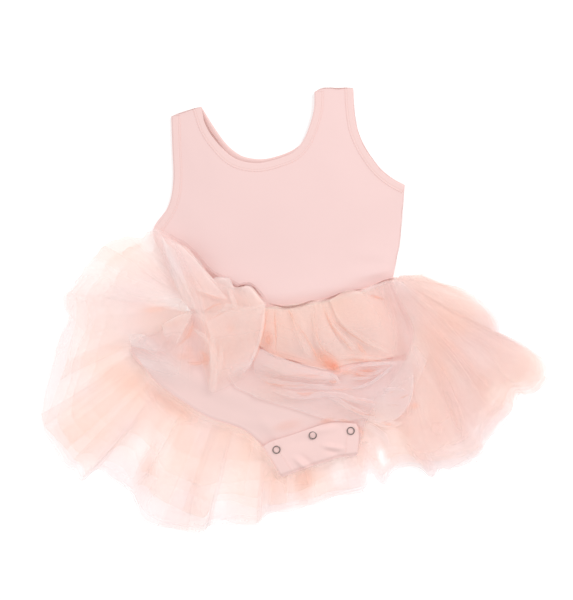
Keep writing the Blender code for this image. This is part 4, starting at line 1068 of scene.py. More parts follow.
# Front layers that spread to the right: hem x, hem y, reach of the second and third sheets
RIGHT_ROOT = [(88, 27), (95, 29.5), (101, 31), (105, 31), (106.5, 34)]
RIGHT_HEM = [(100, -104, 0.94, 0.86), (106, -128, 0.92, 0.84), (119, -147, 0.93, 0.84),
             (139, -159, 0.92, 0.84), (159, -157, 0.93, 0.82), (176, -149, 0.92, 0.84),
             (189, -138, 0.92, 0.82), (199, -119, 0.92, 0.82), (215, -102, 0.92, 0.82),
             (222, -85, 0.92, 0.84), (238, -81, 0.93, 0.84), (249, -69, 0.93, 0.84),
             (248, -54, 0.94, 0.84), (229, -37, 0.93, 0.84), (206, -27, 0.93, 0.84),
             (202, -13, 0.93, 0.84), (192, 1, 0.94, 0.86), (173, 16.5, 0.93, 0.84),
             (151, 25, 0.94, 0.84), (128, 34.5, 0.94, 0.84)]
# Flattened folds of each sheet: place along the hem, width, height, lean
RIGHT_WEDGES = [
    [(0.12, 0.05, 4, 1), (0.3, 0.05, 5, -1), (0.47, 0.06, 4, 1), (0.66, 0.05, 5, 1),
     (0.84, 0.05, 4, -1)],
    [(0.2, 0.07, 4, -1), (0.4, 0.05, 4, 1), (0.58, 0.07, 4, -1), (0.76, 0.05, 4, 1)],
    [(0.08, 0.05, 4, 1), (0.35, 0.07, 4, 1), (0.54, 0.06, 4, -1), (0.9, 0.05, 4, 1)],
]
# Long folds: points, widths, height, lean
RIGHT_STRIPS = [
    ([(105.5, 26.5), (143.5, -7.5), (176.5, -47.5)], (2, 7, 6), 3, 1),
    ([(116.5, 29.5), (156.5, 9.5), (203.5, -13.5)], (2, 5, 7), 3, -1),
    ([(156.5, 6.5), (189.5, -20.5), (246.5, -43.5)], (3, 7, 8), 3, 1),
    ([(176.5, -22.5), (196.5, -40.5), (219.5, -77.5)], (3, 6, 7), 3, -1),
    ([(128.5, -34.5), (143.5, -60.5), (163.5, -103.5), (169.5, -137.5)], (3, 7, 8, 8), 3, 1),
    ([(123.5, -80.5), (136.5, -110.5), (156.5, -137.5)], (3, 6, 8), 3, -1),
    ([(140.5, -24.5), (168.5, -62.5), (190.5, -104.5)], (3, 6, 8), 3, 1),
]
front_fan("tulle_front_right_cloth", "tulle_front_right", RIGHT_ROOT, RIGHT_HEM, RIGHT_WEDGES, [],
          RIGHT_STRIPS, [(0, 0.1, 0.8, 1), (0, 1, 1, 1.2)], tulle_right, 301, 0.85, 8.0)

# Pouf under the bodice, from the gathered seam
POUF_TOP = [(-29, 2.5), (-0.5, 5.6), (31.9, 11.6), (64, 19.8), (92, 29)]
POUF_BOTTOM = [(-34, -36), (-18.5, -46), (0.5, -51), (17.5, -57), (34.5, -60),
               (56.5, -54), (84.5, -50), (112, -44)]
POUF_LEFT = [POUF_TOP[0], (-33, -20), POUF_BOTTOM[0]]
POUF_RIGHT = [POUF_TOP[-1], (104, 4), (114, -22), POUF_BOTTOM[-1]]
POUF_RIDGES = [
    (4, 4, 8, -48, 1.6, 5), (22, 6, 34, -50, 1.6, 5), (40, 10, 86, -42, 1.6, 6),
    (66, 14, 108, -24, 1.2, 8), (27, 0, 40, -50, -1.6, 4), (30, -40, 42, -58, -5, 8),
]
# Smooth panels between the pouf's folds: points round them, bulge, lift, soft sides, fullness
POUF_FACETS = [
    ([(-27.5, 5.5), (-22.5, 6.5), (-18.5, 5.5), (-17.5, -20.5), (-17.5, -45.5), (-26.5, -40.5),
      (-35.5, -35.5), (-29.5, -15.5)], 1.5, 0.3, "tb", 0.6),
    ([(-16.5, 5.5), (-5.5, 1.5), (6.5, 4.5), (14.5, -25.5), (26.5, -50.5), (4.5, -49.5),
      (-16.5, -45.5), (-16.5, -20.5)], 2, 0.3, "tbr", 0.6),
    ([(7.5, 4.5), (17.5, 7.5), (27.5, 7.5), (35.5, -15.5), (56.5, -47.5), (44.5, -56.5),
      (28.5, -48.5), (15.5, -25.5)], 2, 0.6, "tbl", 0.6),
    ([(35.5, 9.5), (56.5, 19.5), (84.5, 11.5), (106.5, -8.5), (112.5, -42.5), (94.5, -40.5),
      (68.5, -30.5), (46.5, -12.5)], 3, 1.2, "br", 0.7),
]
POUF_STRIPS = [
    ([(19.5, 1.5), (20.5, -15.5), (24.5, -33.5), (36.5, -46.5)], (2, 5, 6, 4), 3, 1),
    ([(-3.5, 0.5), (1.5, -15.5), (9.5, -33.5), (20.5, -50.5)], (2, 5, 6, 4), 3, -1),
    ([(31.5, 5.5), (37.5, -12.5), (49.5, -28.5), (65.5, -43.5)], (2, 4, 6, 4), 2.5, 1),
    ([(39.5, -4.5), (53.5, -18.5), (73.5, -31.5), (98.5, -44.5)], (2, 4, 5, 3), 2, -1),
    ([(43.5, -47.5), (66.5, -47.5), (91.5, -51.5), (111.5, -50.5)], (3, 5, 6, 4), 4, 1),
]
# Painted shade in the creases, as thin strips of tinted net: points, widths
POUF_LINES = [
    ([(-18.5, 5.5), (-18.2, -20.5), (-17.5, -44.5)], (1.2, 1.5, 1.2)),
    ([(28.5, 6.5), (32.5, -7), (41.5, -21.5), (50, -31), (57.5, -40.5), (64.5, -45)],
     (1, 1.8, 2, 2, 1.8, 1.2)),
    ([(3.5, -14.5), (13, -29), (22, -44), (27.5, -51.5)], (1, 1.8, 2.2, 1.4)),
    ([(20.5, -11.5), (24, -29), (31.5, -40.5), (42.5, -47.5)], (0.8, 1.4, 1.8, 1)),
    ([(37, -6.5), (46.5, -16.5), (64.5, -29.5), (83.5, -38.5)], (0.8, 1.2, 1.4, 0.8)),
    ([(61.5, -31.5), (67, -39.5), (73.5, -45.5)], (2, 4.5, 2)),
    ([(-5.5, 1.5), (-2.5, -5.5), (-0.5, -12.5)], (1, 2, 1)),
    ([(46.5, -50.5), (71.5, -50.5), (98.5, -52.5)], (1.5, 2.2, 1.2)),
    ([(58.5, -57.5), (72.5, -56.5), (88.5, -57.5)], (1.2, 2, 1.2)),
    ([(58.5, -65.5), (70.5, -61.5), (82.5, -63.5)], (1.2, 2.2, 1.2)),
]
# Painted warm shade in deep places, as oval patches of tinted net: centre, half sizes, turn
POUF_POCKETS = [
    ((33.5, -50.5), 19, 10, -32),
    ((37, -55), 11, 6, -20),
    ((41, -58), 5, 6, -10),
    ((73.5, -65.5), 16, 7.5, 12),
    ((-25, -30), 6, 12, 0),
    ((82.5, 12.5), 9, 2, -20),
]
# Painted warm shade at the pouf's foot, as strips of tinted net
POUF_FOOT = [
    ([(-33.5, -38.5), (-12.5, -47.5), (14.5, -55.5), (38.5, -60.5)], (7, 10, 10, 8)),
    ([(38.5, -58.5), (58.5, -60.5), (78.5, -57.5), (98.5, -53.5)], (8, 10, 8, 4)),
]
POUF_GATHERS = 17
POUF_SEAM = 7.2  # height of its first layer at the seam
POUF_BODY = 5.5
grids = []
for seed in (101, 131, 151):
    grid = patch_grid(POUF_TOP, POUF_BOTTOM, POUF_LEFT, POUF_RIGHT, 62, 132)
    xyz, ss, tt = flowing(grid, 6.0, 1.6, seed, POUF_RIDGES, 0.5 * len(grids), 0.7)
    low = POUF_SEAM + 0.3 * len(grids)
    xyz[..., 2] = low + (xyz[..., 2] - low) * ramp(-0.02, 0.07, tt)
    body = POUF_BODY * np.sin(math.pi * tt ** 0.75) ** 0.8 * (0.8 + 0.2 * np.cos(5 * ss))
    body = body * (1 - 0.7 * ramp(0.75, 1.0, ss))
    gather = np.sin(ss * 2 * math.pi * POUF_GATHERS + 4.0 * noise(ss * 8, tt * 1.2, seed))
    xyz[..., 2] += body + 1.1 * gather * np.exp(-tt / 0.10) * (0.3 + 0.7 * ramp(0, 0.08, tt))
    grids.append(with_fullness(xyz, 1 - 0.9 * ramp(0.80, 1.0, ss)))
heap.lay(grids[-1])
net_piece("tulle_front_inner_cloth", ["tulle_front_inner"], grids + facets(POUF_FACETS, 161),
          tulle_dense, 1.4)
net_piece("tulle_front_inner_pleats", [], strips(POUF_STRIPS, 171, -0.3), tulle_inner,
          1.4)
# Painted warm shade in the pouf's deep places, creases and foot, in the warm tinted net
painted_shade_nets = shade_patches(POUF_POCKETS, 0.3, 3.2) + lines(POUF_LINES, 0.5, 181, 0.8, 1.2)
painted_shade_nets += lines(POUF_FOOT, 0.5, 191, 0.6, 0.3)

# Crumpled band and veil below the pouf, pinched near its middle
KNOT = (43, -72)
VEIL_TOP = [(-66, -66), (-34, -40), (-18.5, -48), (0.5, -54), (24.5, -62),
            (34.5, -66), (46, -64), (62, -56), (92, -52), (116, -50)]
VEIL_BOTTOM = [(-58, -78), (-30, -90), (0, -99), (41.5, -111), (70, -109),
               (98, -110.5), (116, -92)]
VEIL_LEFT = [VEIL_TOP[0], VEIL_BOTTOM[0]]
VEIL_RIGHT = [VEIL_TOP[-1], (120, -72), VEIL_BOTTOM[-1]]
VEIL_RIDGES = [
    (-34, -38, 43, -66, 3, 4), (-38, -54, 43, -72, 3, 4), (-40, -70, 60, -84, 2.5, 5),
    (50, -80, 104, -54, 3.5, 4), (46, -84, 110, -84, 3, 5), (30, -86, 84, -110, 3, 4),
    (44, -70, 40, -74, -4, 5),
]
# Net that lies over the gathers at the right end of the waist
RIGHT_FACETS = [
    ([(68, 19.5), (82, 25.5), (100, 30), (112, 24), (118, 12), (101, 6), (84, 11), (72, 16)], 1.5,
     0.5, "b", 1),
]
# Facets of the crumpled band and of the veil's right lobe
VEIL_FACETS = [
    ([(-35.5, -37.5), (-3.5, -51.5), (38.5, -63.5), (44.5, -68.5), (40.5, -76.5), (6.5, -76.5),
      (-35.5, -72.5), (-39.5, -54.5)], 2, 0.3, "b", 1.6),
    ([(-39.5, -74.5), (2.5, -77.5), (50.5, -80.5), (54.5, -92.5), (50.5, -106.5), (6.5, -94.5),
      (-31.5, -92.5), (-41.5, -84.5)], 1.5, 0.2, "tb", 1.2),
    ([(51.5, -78.5), (78.5, -67.5), (103.5, -51.5), (118.5, -64.5), (114.5, -94.5), (98.5, -109.5),
      (56.5, -111.5), (44.5, -95.5)], 2.5, 0.8, "lt", 1.4),
    ([(86.5, 6.5), (109.5, -2.5), (137.5, -26.5), (133.5, -48.5), (118.5, -82.5), (110.5, -68.5),
      (106.5, -50.5), (102.5, -18.5)], 2.5, 1.4, "ltb", 1.2),
    ([(110.5, -40.5), (122.5, -32.5), (137.5, -28.5), (132.5, -52.5), (117.5, -76.5),
      (112.5, -70.5), (104.5, -58.5), (105.5, -48.5)], 1.5, 1, "tblr", 0.9),
]
# Folds of both
VEIL_STRIPS = [
    ([(-35.5, -38.5), (-8.5, -50.5), (18.5, -57.5), (42.5, -63.5)], (2, 3, 3, 2), 3, 1),
    ([(-36.5, -50.5), (-8.5, -60.5), (18.5, -65.5), (43.5, -69.5)], (4, 8, 7, 3), 3, -1),
    ([(-37.5, -66.5), (-8.5, -74.5), (18.5, -76.5), (51.5, -79.5)], (4, 7, 6, 3), 3, 1),
    ([(-31.5, -76.5), (6.5, -85.5), (36.5, -83.5), (58.5, -88.5), (86.5, -99.5)],
     (4, 8, 6, 6, 4), 3, -1),
    ([(50.5, -79.5), (71.5, -75.5), (86.5, -65.5), (103.5, -51.5)], (2, 3.5, 3.5, 2), 4, 1),
    ([(26.5, -82.5), (44.5, -91.5), (62.5, -101.5), (83.5, -110.5)], (3, 6, 6, 3), 3, 1),
    ([(55.5, -86.5), (78.5, -91.5), (104.5, -94.5)], (3, 6, 3), 3, -1),
    ([(86.5, -79.5), (102.5, -79.5), (115.5, -82.5)], (2, 4, 3), 3, 1),
    ([(118.5, -54.5), (117.5, -78.5), (111.5, -97.5), (97.5, -110.5), (80.5, -114.5)],
     (2, 2.5, 2.5, 2.5, 1.5), 2, 1),
    ([(58.5, -56.5), (78.5, -53.5), (103.5, -52.5)], (3, 4.5, 3), 3, -1),
    ([(59.5, -61.5), (74.5, -64.5), (91.5, -58.5)], (2, 4.5, 2), 3, 1),
    ([(56.5, -69.5), (68.5, -68.5), (80.5, -66.5)], (2, 4, 2), 3, -1),
    ([(34.5, -63.5), (40.5, -66.5), (46.5, -74.5)], (3, 5, 2), 4, 1),
    ([(64.5, -110.5), (78.5, -118.5), (90.5, -128.5), (97.5, -142.5)], (4, 8, 7, 3), 2, 1),
    ([(72.5, -108.5), (90.5, -113.5), (110.5, -113.5)], (3, 7, 3), 2, -1),
]
# Painted shade in the creases, as thin strips of tinted net
VEIL_LINES = [
    ([(-35.5, -66.5), (-21.5, -74.5), (-5.5, -75.5), (18.5, -75.5)], (1, 1.8, 1.6, 1)),
    ([(-21.5, -67.5), (6.5, -65.5), (30.5, -64.5)], (1, 1.8, 1.2)),
    ([(0.5, -81.5), (11.5, -84.5), (22.5, -80.5)], (1.5, 4.5, 1.5)),
    ([(34.5, -79), (49.5, -79.5), (60.5, -78.5)], (0.8, 1.4, 0.8)),
    ([(51.5, -95.5), (66.5, -103.5), (84.5, -106.5)], (1, 2.6, 1.2)),
    ([(58.5, -87.5), (78.5, -92.5), (106.5, -95.5)], (1, 2.4, 1)),
    ([(90.5, -86.5), (102.5, -88.5), (116.5, -83.5)], (1, 1.6, 1)),
    ([(92.5, -84.5), (98.5, -81.5), (104.5, -80.5)], (0.8, 1.4, 0.8)),
]
# Painted shade in deep places of the band and above the tab, as oval patches of tinted net
VEIL_POCKETS = [
    ((39.5, -71.5), 5.5, 3, 0),
    ((39.5, -71.5), 4, 2, 0),
    ((120.5, -95.5), 6, 4, 20),
    ((70, -62.5), 15, 4.5, 10),
    ((15.5, -66.5), 24, 5, -8),
    ((52, -62.5), 10, 4, 8),
    ((44, -61), 4, 5, 0),
    ((33.5, -110.5), 10, 3.6, 12),
    ((50.5, -110.5), 8, 1.8, -8),
    ((67.5, -121.5), 3, 7, 20),
    ((94.5, -114.5), 10, 3, -10),
]
grids = []
for seed in (201, 231):
    grid = patch_grid(VEIL_TOP, VEIL_BOTTOM, VEIL_LEFT, VEIL_RIGHT, 66, 132)
    xyz, _, _ = flowing(np.swapaxes(grid, 0, 1), 3.0, 1.8, seed, VEIL_RIDGES,
                        0.8 + 0.6 * len(grids), 1.6, 0.5)
    pinch = np.hypot((xyz[..., 0] - KNOT[0]) / 9.0, (xyz[..., 1] - KNOT[1]) / 7.0)
    xyz[..., 2] -= 2.0 * np.exp(-pinch ** 2)
    grids.append(xyz[:, ::-1])
heap.lay(grids[-1])
grids += facets(RIGHT_FACETS, 266) + facets(VEIL_FACETS, 261) + strips(VEIL_STRIPS, 271, 0.0)
net_piece("tulle_front_veil_cloth", ["tulle_front_veil"], grids, tulle_veil)
# Painted shade in the veil's deep places and creases and above the tab, in the warm tinted net
painted_shade_nets += shade_patches([((81.5, -103), 13, 5, -12), ((-6, -116), 20, 7, 14)], 0.4, 1.0)
painted_shade_nets += shade_patches(VEIL_POCKETS, 1.6, 2.5) + lines(VEIL_LINES, 0.4, 281, 2.4)
net_piece("tulle_front_inner_painted_shade", [], painted_shade_nets, painted_shade_tulle)

# Front layers thrown up to the left: hem x, hem y, reach of the second and third sheets
LEFT_ROOT = [(-96, 8), (-99, 11), (-104, 8), (-107, 2), (-106, -4),
             (-101, -7)]
LEFT_HEM = [(-90, 40, 0.9, 0.8), (-104, 56, 0.95, 0.84), (-122, 73, 0.97, 0.86),
            (-139.5, 80.5, 0.97, 0.84), (-151.5, 71.5, 0.9, 0.66), (-166.5, 72.5, 0.8, 0.6),
            (-184.5, 66.5, 0.76, 0.56), (-195.5, 56.5, 0.8, 0.54), (-209.5, 38.5, 0.74, 0.5),
            (-220.5, 22.5, 0.76, 0.54), (-226.5, 13.5, 0.7, 0.5), (-224, 1, 0.74, 0.56),
            (-216, -14, 0.78, 0.6), (-204, -26, 0.8, 0.62), (-186, -34, 0.8, 0.64),
            (-166, -36, 0.84, 0.66), (-144, -46, 0.86, 0.7), (-122, -60, 0.86, 0.7),
            (-104, -72, 0.9, 0.72)]
LEFT_WEDGES = [
    [(0.16, 0.05, 4, 1), (0.38, 0.06, 3, -1), (0.8, 0.08, 5, -1), (0.94, 0.06, 4, 1)],
    [(0.3, 0.08, 3, 1), (0.62, 0.1, 3, -1), (0.86, 0.08, 5, 1)],
    [(0.2, 0.08, 4, -1), (0.46, 0.1, 3, 1), (0.74, 0.1, 4, 1)],
]
LEFT_RIDGES = [
    (-132, 74, -92, -4, 4, 3.4), (-100, 0, -130, -14, 3.6, 4), (-100, -2, -120, -36, 3.6, 4),
    (-100, 4, -150, 10, 2.4, 6), (-102, 8, -160, 48, 2.2, 8), (-150, -22, -126, -40, 3, 5),
]
front_fan("tulle_front_left_cloth", "tulle_front_left", LEFT_ROOT, LEFT_HEM, LEFT_WEDGES,
          LEFT_RIDGES, [], [(0, 0.12, 0.32, 0.45, 0.9, 1), (0.6, 2, 2, 1, 1, 0.2)],
          tulle_left, 401, 1.0, 6.0)

# Crumpled stretch of those layers, over the bodice's lower left corner
FOLD_TOP = [(-137, 77), (-121, 66.5), (-106.5, 62), (-92, 44), (-82, 33),
            (-78, 30), (-64.5, 31.5), (-58.5, 22.5), (-42.5, 22.5), (-29, 6)]
FOLD_BOTTOM = [(-98, -30), (-90, -60), (-83.5, -82), (-74, -81), (-60.5, -74),
               (-50, -67), (-42, -54)]
FOLD_LEFT = [FOLD_TOP[0], (-116, 36), (-98, 2), FOLD_BOTTOM[0]]
FOLD_RIGHT = [FOLD_TOP[-1], (-29, -16), (-34, -36), FOLD_BOTTOM[-1]]
FOLD_RIDGES = [
    (-130, 74, -106, 28, 3, 4), (-106, 28, -90, -8, 3, 4), (-88, -8, -82, -66, 2, 4),
    (-60, 24, -52, -30, 3, 5), (-90, -6, -46, 0, 2.4, 4), (-32, 4, -42, -50, 2.4, 5),
    (-96, -36, -92, -58, -2, 5), (-62, -16, -60, -22, -3, 4),
]
# Facets of the crumple on the bodice's lower left
FOLD_FACETS = [
    ([(-135.5, 73.5), (-115.5, 66.5), (-95.5, 47.5), (-81.5, 29.5), (-65.5, 10.5), (-83.5, 15.5),
      (-103.5, 23.5), (-121.5, 47.5)], 2, 0.4, "l", 1.5),
    ([(-81.5, 30.5), (-74.5, 32.5), (-65.5, 30.5), (-60.5, 23.5), (-55.5, 13.5), (-61.5, 12.5),
      (-67.5, 13.5), (-74.5, 21.5)], 2, 0.6, "b", 1.3),
    ([(-57.5, 15.5), (-45.5, 23.5), (-37.5, 15.5), (-31.5, 9.5), (-26.5, 5.5), (-41.5, -0.5),
      (-55.5, -4.5), (-57.5, 5.5)], 2.5, 0.8, "l", 1.3),
    ([(-86.5, -12.5), (-60.5, -0.5), (-27.5, 4.5), (-31.5, -18.5), (-36.5, -36.5), (-58.5, -42.5),
      (-81.5, -40.5), (-82.5, -26.5)], 2.5, 0.6, "b", 1.5),
    ([(-81.5, -40.5), (-58.5, -42.5), (-36.5, -36.5), (-41.5, -52.5), (-50.5, -65.5),
      (-68.5, -78.5), (-83.5, -85.5), (-81.5, -62.5)], 1.5, 0.4, "tlb", 1.4),
    ([(-130.5, -15.5), (-115.5, -6.5), (-99.5, -1.5), (-108.5, -18.5), (-117.5, -36.5),
      (-121.5, -34.5), (-125.5, -30.5), (-128.5, -23.5)], 1.5, 1.6, "b", 1.6),
    ([(-123, 34), (-112, 26), (-94, 12), (-86, -6), (-92, -24), (-112, -22), (-124, -6),
      (-128, 14)], 1.5, 0.2, "tblr", 1.5),
    ([(-138.5, 80.5), (-121.5, 69.5), (-103.5, 47.5), (-93.5, 24.5), (-86.5, -12.5), (-97.5, -5.5),
      (-113.5, 23.5), (-129.5, 53.5)], 2, 0.6, "l", 0.8),
]
# Palest net: the flap over the brief's tip and the long limb up to the side seam; the limb's facets
# are laid fuller as painted light over the shaded side of the crumple's slopes
PALE_FACETS = [
    ([(-164.5, -24.5), (-150.5, -24.5), (-135.5, -30.5), (-126.5, -34.5), (-116.5, -39.5),
      (-133.5, -41.5), (-160.5, -36.5), (-163.5, -30.5)], 1, 0.6, "r", 1),
    ([(-161.5, -36.5), (-140.5, -36.5), (-108.5, -44.5), (-90.5, -60.5), (-92.5, -98.5),
      (-116.5, -86.5), (-142.5, -66.5), (-153.5, -50.5)], 1, 0.3, "trb", 1.3),
    ([(-141.5, 81.5), (-132.5, 75.5), (-121.5, 58.5), (-107.5, 30.5), (-96.5, 2.5), (-103.5, 2.5),
      (-116.5, 20.5), (-131.5, 52.5)], 1, 0.4, "l", 1.5),
    ([(-130.5, 68.5), (-120.5, 61.5), (-108.5, 48.5), (-98.5, 30.5), (-86.5, -2.5), (-96.5, -2.5),
      (-110.5, 22.5), (-122.5, 46.5)], 1, 1, "r", 1.2),
    ([(-80.5, -26.5), (-76.5, -30.5), (-72.5, -36.5), (-73.5, -58.5), (-78.5, -84.5),
      (-83.5, -84.5), (-84.5, -60.5), (-82.5, -40.5)], 0.8, 0.8, "tb", 1),
    ([(-66.5, 6.5), (-48.5, 3.5), (-28.5, 5.5), (-34.5, -8.5), (-44.5, -18.5), (-58.5, -14.5),
      (-74.5, -6.5), (-70.5, 0.5)], 1, 1, "b", 0.8),
]
# Folds of the crumple
FOLD_STRIPS = [
    ([(-138.5, 80.5), (-135.5, 69.5), (-128.5, 53.5), (-120.5, 38.5), (-113.5, 24.5), (-104.5, 9.5),
      (-96.5, -3.5), (-87.5, -22.5)], (2, 5, 7, 7, 9, 11, 8, 4), 4, 1),
    ([(-130.5, 66.5), (-122.5, 51.5), (-111.5, 34.5), (-101.5, 19.5), (-93.5, 1.5), (-86.5, -16.5)],
     (2, 4, 6, 8, 7, 4), 4, -1),
    ([(-67.5, 25.5), (-63.5, 16.5), (-59.5, 6.5), (-55.5, -3.5)], (2, 4, 5, 3), 4, 1),
    ([(-80.5, -23.5), (-79.5, -40.5), (-78.5, -60.5), (-81.5, -85.5)], (6, 8, 8, 4), 4, -1),
    ([(-70.5, -33.5), (-72.5, -50.5), (-75.5, -70.5)], (4, 5, 4), 3, 1),
    ([(-27.5, 4.5), (-31.5, -18.5), (-36.5, -36.5), (-44.5, -56.5), (-57.5, -67.5)],
     (2, 3, 3, 3, 2), 3, 1),
    ([(-86.5, -12.5), (-71.5, -1.5), (-53.5, -1.5), (-27.5, 4.5)], (2, 3, 3, 2), 3, 1),
    ([(-105.5, 24.5), (-85.5, 16.5), (-64.5, 9.5)], (2, 4, 2), 3, -1),
    ([(-99.5, -1.5), (-115.5, -7.5), (-133.5, -16.5)], (2, 3, 2), 3, 1),
    ([(-99.5, -1.5), (-108.5, -18.5), (-118.5, -37.5)], (2, 3, 2), 3, -1),
    ([(-106.5, 63.5), (-94.5, 47.5), (-82.5, 30.5), (-65.5, 10.5)], (2, 2.5, 2.5, 2), 3, 1),
    ([(-81.5, 30.5), (-67.5, 31.5), (-59.5, 22.5)], (1.5, 2.5, 1.5), 3, 1),
    ([(-56.5, 16.5), (-44.5, 23.5), (-35.5, 12.5), (-26.5, 5.5)], (1.5, 3, 2.5, 1.5), 3, 1),
    ([(-101.5, -18.5), (-89.5, -26.5), (-81.5, -36.5)], (2, 5, 3), 3, 1),
]
# Painted shade in the creases, as thin strips of tinted net: points, widths, height, lean
FOLD_LINES = [
    ([(-96.5, 18.5), (-81.5, 13.5), (-67.5, 9.5)], (0.8, 1.6, 0.8), 0.4, 1),
    ([(-89.5, -2.5), (-77.5, 4.5), (-67.5, 6.5)], (1, 2.6, 1), 0.4, 1),
    ([(-65.5, -15.5), (-61.5, -19.5), (-57.5, -15.5)], (2, 5, 2), 0.4, 1),
    ([(-117.5, -38.5), (-103.5, -25.5), (-97.5, -8.5)], (1.4, 3, 1), 0.4, 1),
    ([(-92.5, -41.5), (-87, -48.5), (-88, -58.5)], (2, 6, 3), 0.6, 1),
    ([(-108, -51.5), (-97, -54), (-85, -51)], (1.5, 4, 2), 0.6, 1),
    ([(-25.5, 1.5), (-29, -18.5), (-34, -37.5), (-42, -56.5)], (1.2, 2, 2, 1.2), 0.4, 1),
]
# Painted shadow on the bodice along the crumple's upper edge, as strips of dark tinted net
EDGE_LINES = [
    ([(-133.5, 78.5), (-108.5, 62.5), (-88.5, 39.5), (-69.5, 29.5), (-53.5, 20.5), (-31.5, 12.5)],
     (2, 9, 11, 9, 8, 4)),
    ([(-115.5, 67.5), (-95.5, 48.5), (-80.5, 32.5), (-57.5, 21.5), (-31.5, 10.5)], (2, 8, 8, 7, 3)),
    ([(-103.5, 58.5), (-90.5, 41.5), (-77.5, 32), (-59.5, 22.5), (-37.5, 13.5)], (1, 4, 4, 3, 1)),
    ([(-66.5, 30.5), (-57.5, 22.5), (-45.5, 24.5), (-36.5, 18.5), (-25.5, 5.5)], (4, 5, 6, 6, 3)),
    ([(-62.5, 26.5), (-55.5, 21.5), (-43.5, 24.5), (-33.5, 13.5)], (1, 3, 4, 2)),
]
# Painted shade in a deep place, and painted warm shade in the hollows, as oval patches of tinted
# net
FOLD_POCKETS = [((-94, -49), 14, 9, 10)]
FOLD_HOLLOWS = [
    ((-107.5, -46.5), 11, 5, 0),
    ((-102.5, -22.5), 9, 12, -30),
    ((-120, -13), 15, 6, 20),
    ((-138, 0), 20, 4, 6),
    ((-103, -40), 6, 6, 0),
]
# Painted shadow along the waist seam, as strips of dark tinted net
WAIST_LINES = [
    ([(-27, 6.5), (-18.5, 4.5), (-8.5, 2.8), (6.5, 4.6), (16.5, 7.6), (25.5, 8.4)],
     (1.2, 1.6, 2, 2, 1.8, 1.4)),
    ([(23.5, 8), (34.5, 10.5), (46.5, 15.5), (58.5, 18.5), (72.5, 20.5)],
     (1.4, 1.7, 1.5, 1.3, 0.8)),
    ([(80.5, 24.5), (90.5, 28.5), (99.5, 31.5)], (0.8, 1.2, 0.8)),
    ([(-70, 33.5), (-64, 26), (-58.5, 20.5), (-51, 24), (-41, 23), (-30, 10.5)],
     (0.8, 1.4, 1.8, 1.4, 1.4, 0.8)),
]
# Painted shadow along the bodice's rims at the left strap's neck edge and the strap tops, as strips
# of dark tinted net; the garment has no net there
RIM_LINES = [
    ([(-92.6, 202.2), (-86, 182.5), (-76.5, 168), (-66, 156.8)], (0.8, 1.8, 1.8, 0.8)),
    ([(-122.2, 193.3), (-107, 198.3), (-93, 202.6)], (1, 1, 1)),
    ([(21.6, 217.6), (29, 221), (44, 221.7), (59.4, 221.7)], (1, 1, 1)),
]
# Painted shadow along the right armhole and side, as strips of dark tinted net
SIDE_LINES = [
    ([(59.5, 221.5), (60.3, 205.5), (62.4, 187.5), (66.8, 172.5), (74.8, 157), (86, 141.9),
      (98.1, 131.8), (110.8, 124.8)], (0.8, 0.8, 0.8)),
    ([(111.2, 124.5), (108.7, 94.5), (106.5, 69.5), (102.3, 47.5), (99, 32.5)],
     (0.9, 0.9, 0.9)),
]
# Painted shadow lines and a painted dark notch at the waist's right end, all in the dark tinted net
painted_shadows = lines(RIM_LINES, 0.4, 631, 0.4, 4.0) + lines(SIDE_LINES, 0.4, 641, 0.4, 2.0)
painted_shadows += lines(EDGE_LINES, 0.2, 591, 0.4) + lines(WAIST_LINES, 0.4, 611, 0.4, 4.0)
painted_shadows += lines(WAIST_LINES, 0.4, 621, 0.6, 4.0) + shade_patches([((96.5, 29.5), 6, 2, 15)], 1.0, 4.0)
grids = []
for seed in (501, 531):
    grid = patch_grid(FOLD_TOP, FOLD_BOTTOM, FOLD_LEFT, FOLD_RIGHT, 100, 68)
    xyz, ss, tt = flowing(grid, 4.0, 2.0, seed, FOLD_RIDGES, 0.8 + 0.6 * len(grids), 1.6, 0.6)
    xyz[..., 2] += 4.0 * (np.sin(math.pi * tt) * np.sin(math.pi * ss))
    fade = (0.15 + 0.85 * ramp(0, 0.35, ss)) * (1 - 0.75 * ramp(0.7, 1.0, tt))
    grids.append(with_fullness(xyz, fade))
heap.lay(grids[-1])
net_piece("tulle_front_fold_inner", [], grids, tulle_crumple)
# Painted shade in the crumple's deep place, hollows and creases, in the warm tinted net
painted_shade_nets = shade_patches(FOLD_POCKETS, 0.3, 1.3) + shade_patches(FOLD_HOLLOWS, 0.3, 1.6)
painted_shade_nets += strips(FOLD_LINES, 581, 0.8)
net_piece("tulle_front_fold_painted_shade", [], painted_shade_nets, painted_shade_tulle)
net_piece("tulle_front_fold_painted_shadow", [], painted_shadows, painted_shadow_tulle)
grids = facets(FOLD_FACETS, 561) + strips(FOLD_STRIPS, 571, 0.2, 0.6)
net_piece("tulle_front_fold_cloth", ["tulle_front_fold"], grids, tulle_front)
net_piece("tulle_front_fold_pale", [], facets(PALE_FACETS, 591), tulle_pale,
          1.4)

threads = mesh_object("stitching", stitch_verts, stitch_faces, thread)
dress(threads, [])

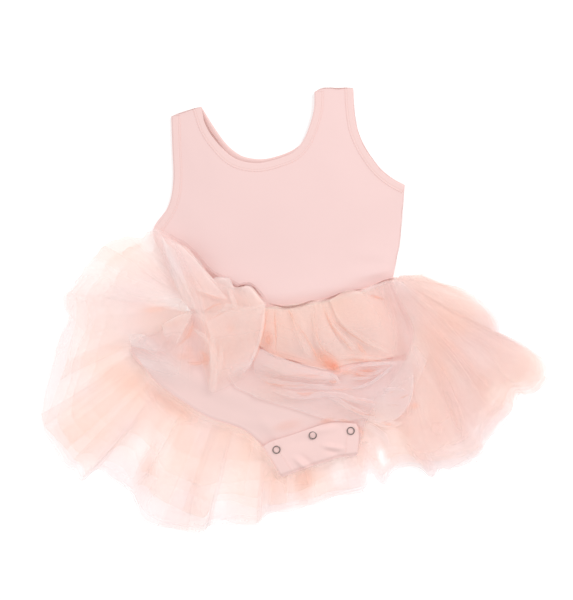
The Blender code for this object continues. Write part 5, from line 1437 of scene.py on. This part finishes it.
# ------------------------------------------------------------------ stage, light, camera
floor_mat, floor_tree, floor_shader = principled("stage_floor", (0.6, 0.6, 0.6), 0.9, {
    "Specular IOR Level": 0.0, "Emission Color": (1.0, 1.0, 1.0, 1.0), "Emission Strength": 0.47})
grain = add_node(floor_tree, "TexNoise", {"Scale": 30.0})
tone = add_node(floor_tree, "MapRange", {"To Min": 0.595, "To Max": 0.605})
wire(floor_tree, [(grain, "Fac", tone, "Value"), (tone, "Result", floor_shader, "Base Color")])
FLOOR_HALF = 6000
FLOOR_LEVEL = -0.4
corners = [(x * FLOOR_HALF, y * FLOOR_HALF, FLOOR_LEVEL)
           for x, y in ((-1, -1), (1, -1), (1, 1), (-1, 1))]
floor = mesh_object("stage_floor", corners, [[0, 1, 2, 3]], floor_mat)

world = bpy.data.worlds.new("studio")
world.use_nodes = True
sky = world.node_tree.nodes["Background"]
sky.inputs["Color"].default_value = (1.0, 1.0, 1.0, 1.0)
sky.inputs["Strength"].default_value = 0.675
scene.world = world


def add_light(name, spot, size, power):
    """Square soft box that points at the garment; its place is in metres."""
    data = bpy.data.lights.new(name, "AREA")
    data.shape = "SQUARE"
    data.size = size
    data.energy = power
    obj = bpy.data.objects.new(name, data)
    scene.collection.objects.link(obj)
    obj.location = spot
    obj.rotation_mode = "QUATERNION"
    obj.rotation_quaternion = Vector(spot).to_track_quat("Z", "Y")


add_light("key", (0.9, 0.9, 1.5), 0.9, 17.5)
add_light("fill", (-1.2, -0.4, 1.4), 1.4, 5.5)

# The camera looks straight down; half of its view's width is HALF_VIEW at the garment's level
SENSOR = 36.0
HALF_VIEW = 0.300
CAMERA_HIGH = 1.6
CAMERA_X, CAMERA_Y = -0.007, 0.0095
GARMENT_LEVEL = 0.008
camera_data = bpy.data.cameras.new("camera")
camera_data.sensor_width = SENSOR
camera_data.lens = SENSOR / 2 / (HALF_VIEW / CAMERA_HIGH)
camera_data.clip_start = 0.05
camera_data.clip_end = 20.0
camera = bpy.data.objects.new("camera", camera_data)
scene.collection.objects.link(camera)
camera.location = (CAMERA_X, CAMERA_Y, CAMERA_HIGH + GARMENT_LEVEL)
scene.camera = camera
scene.view_settings.view_transform = "Standard"
scene.cycles.max_bounces = 20
scene.cycles.diffuse_bounces = 10
scene.cycles.transparent_max_bounces = 40
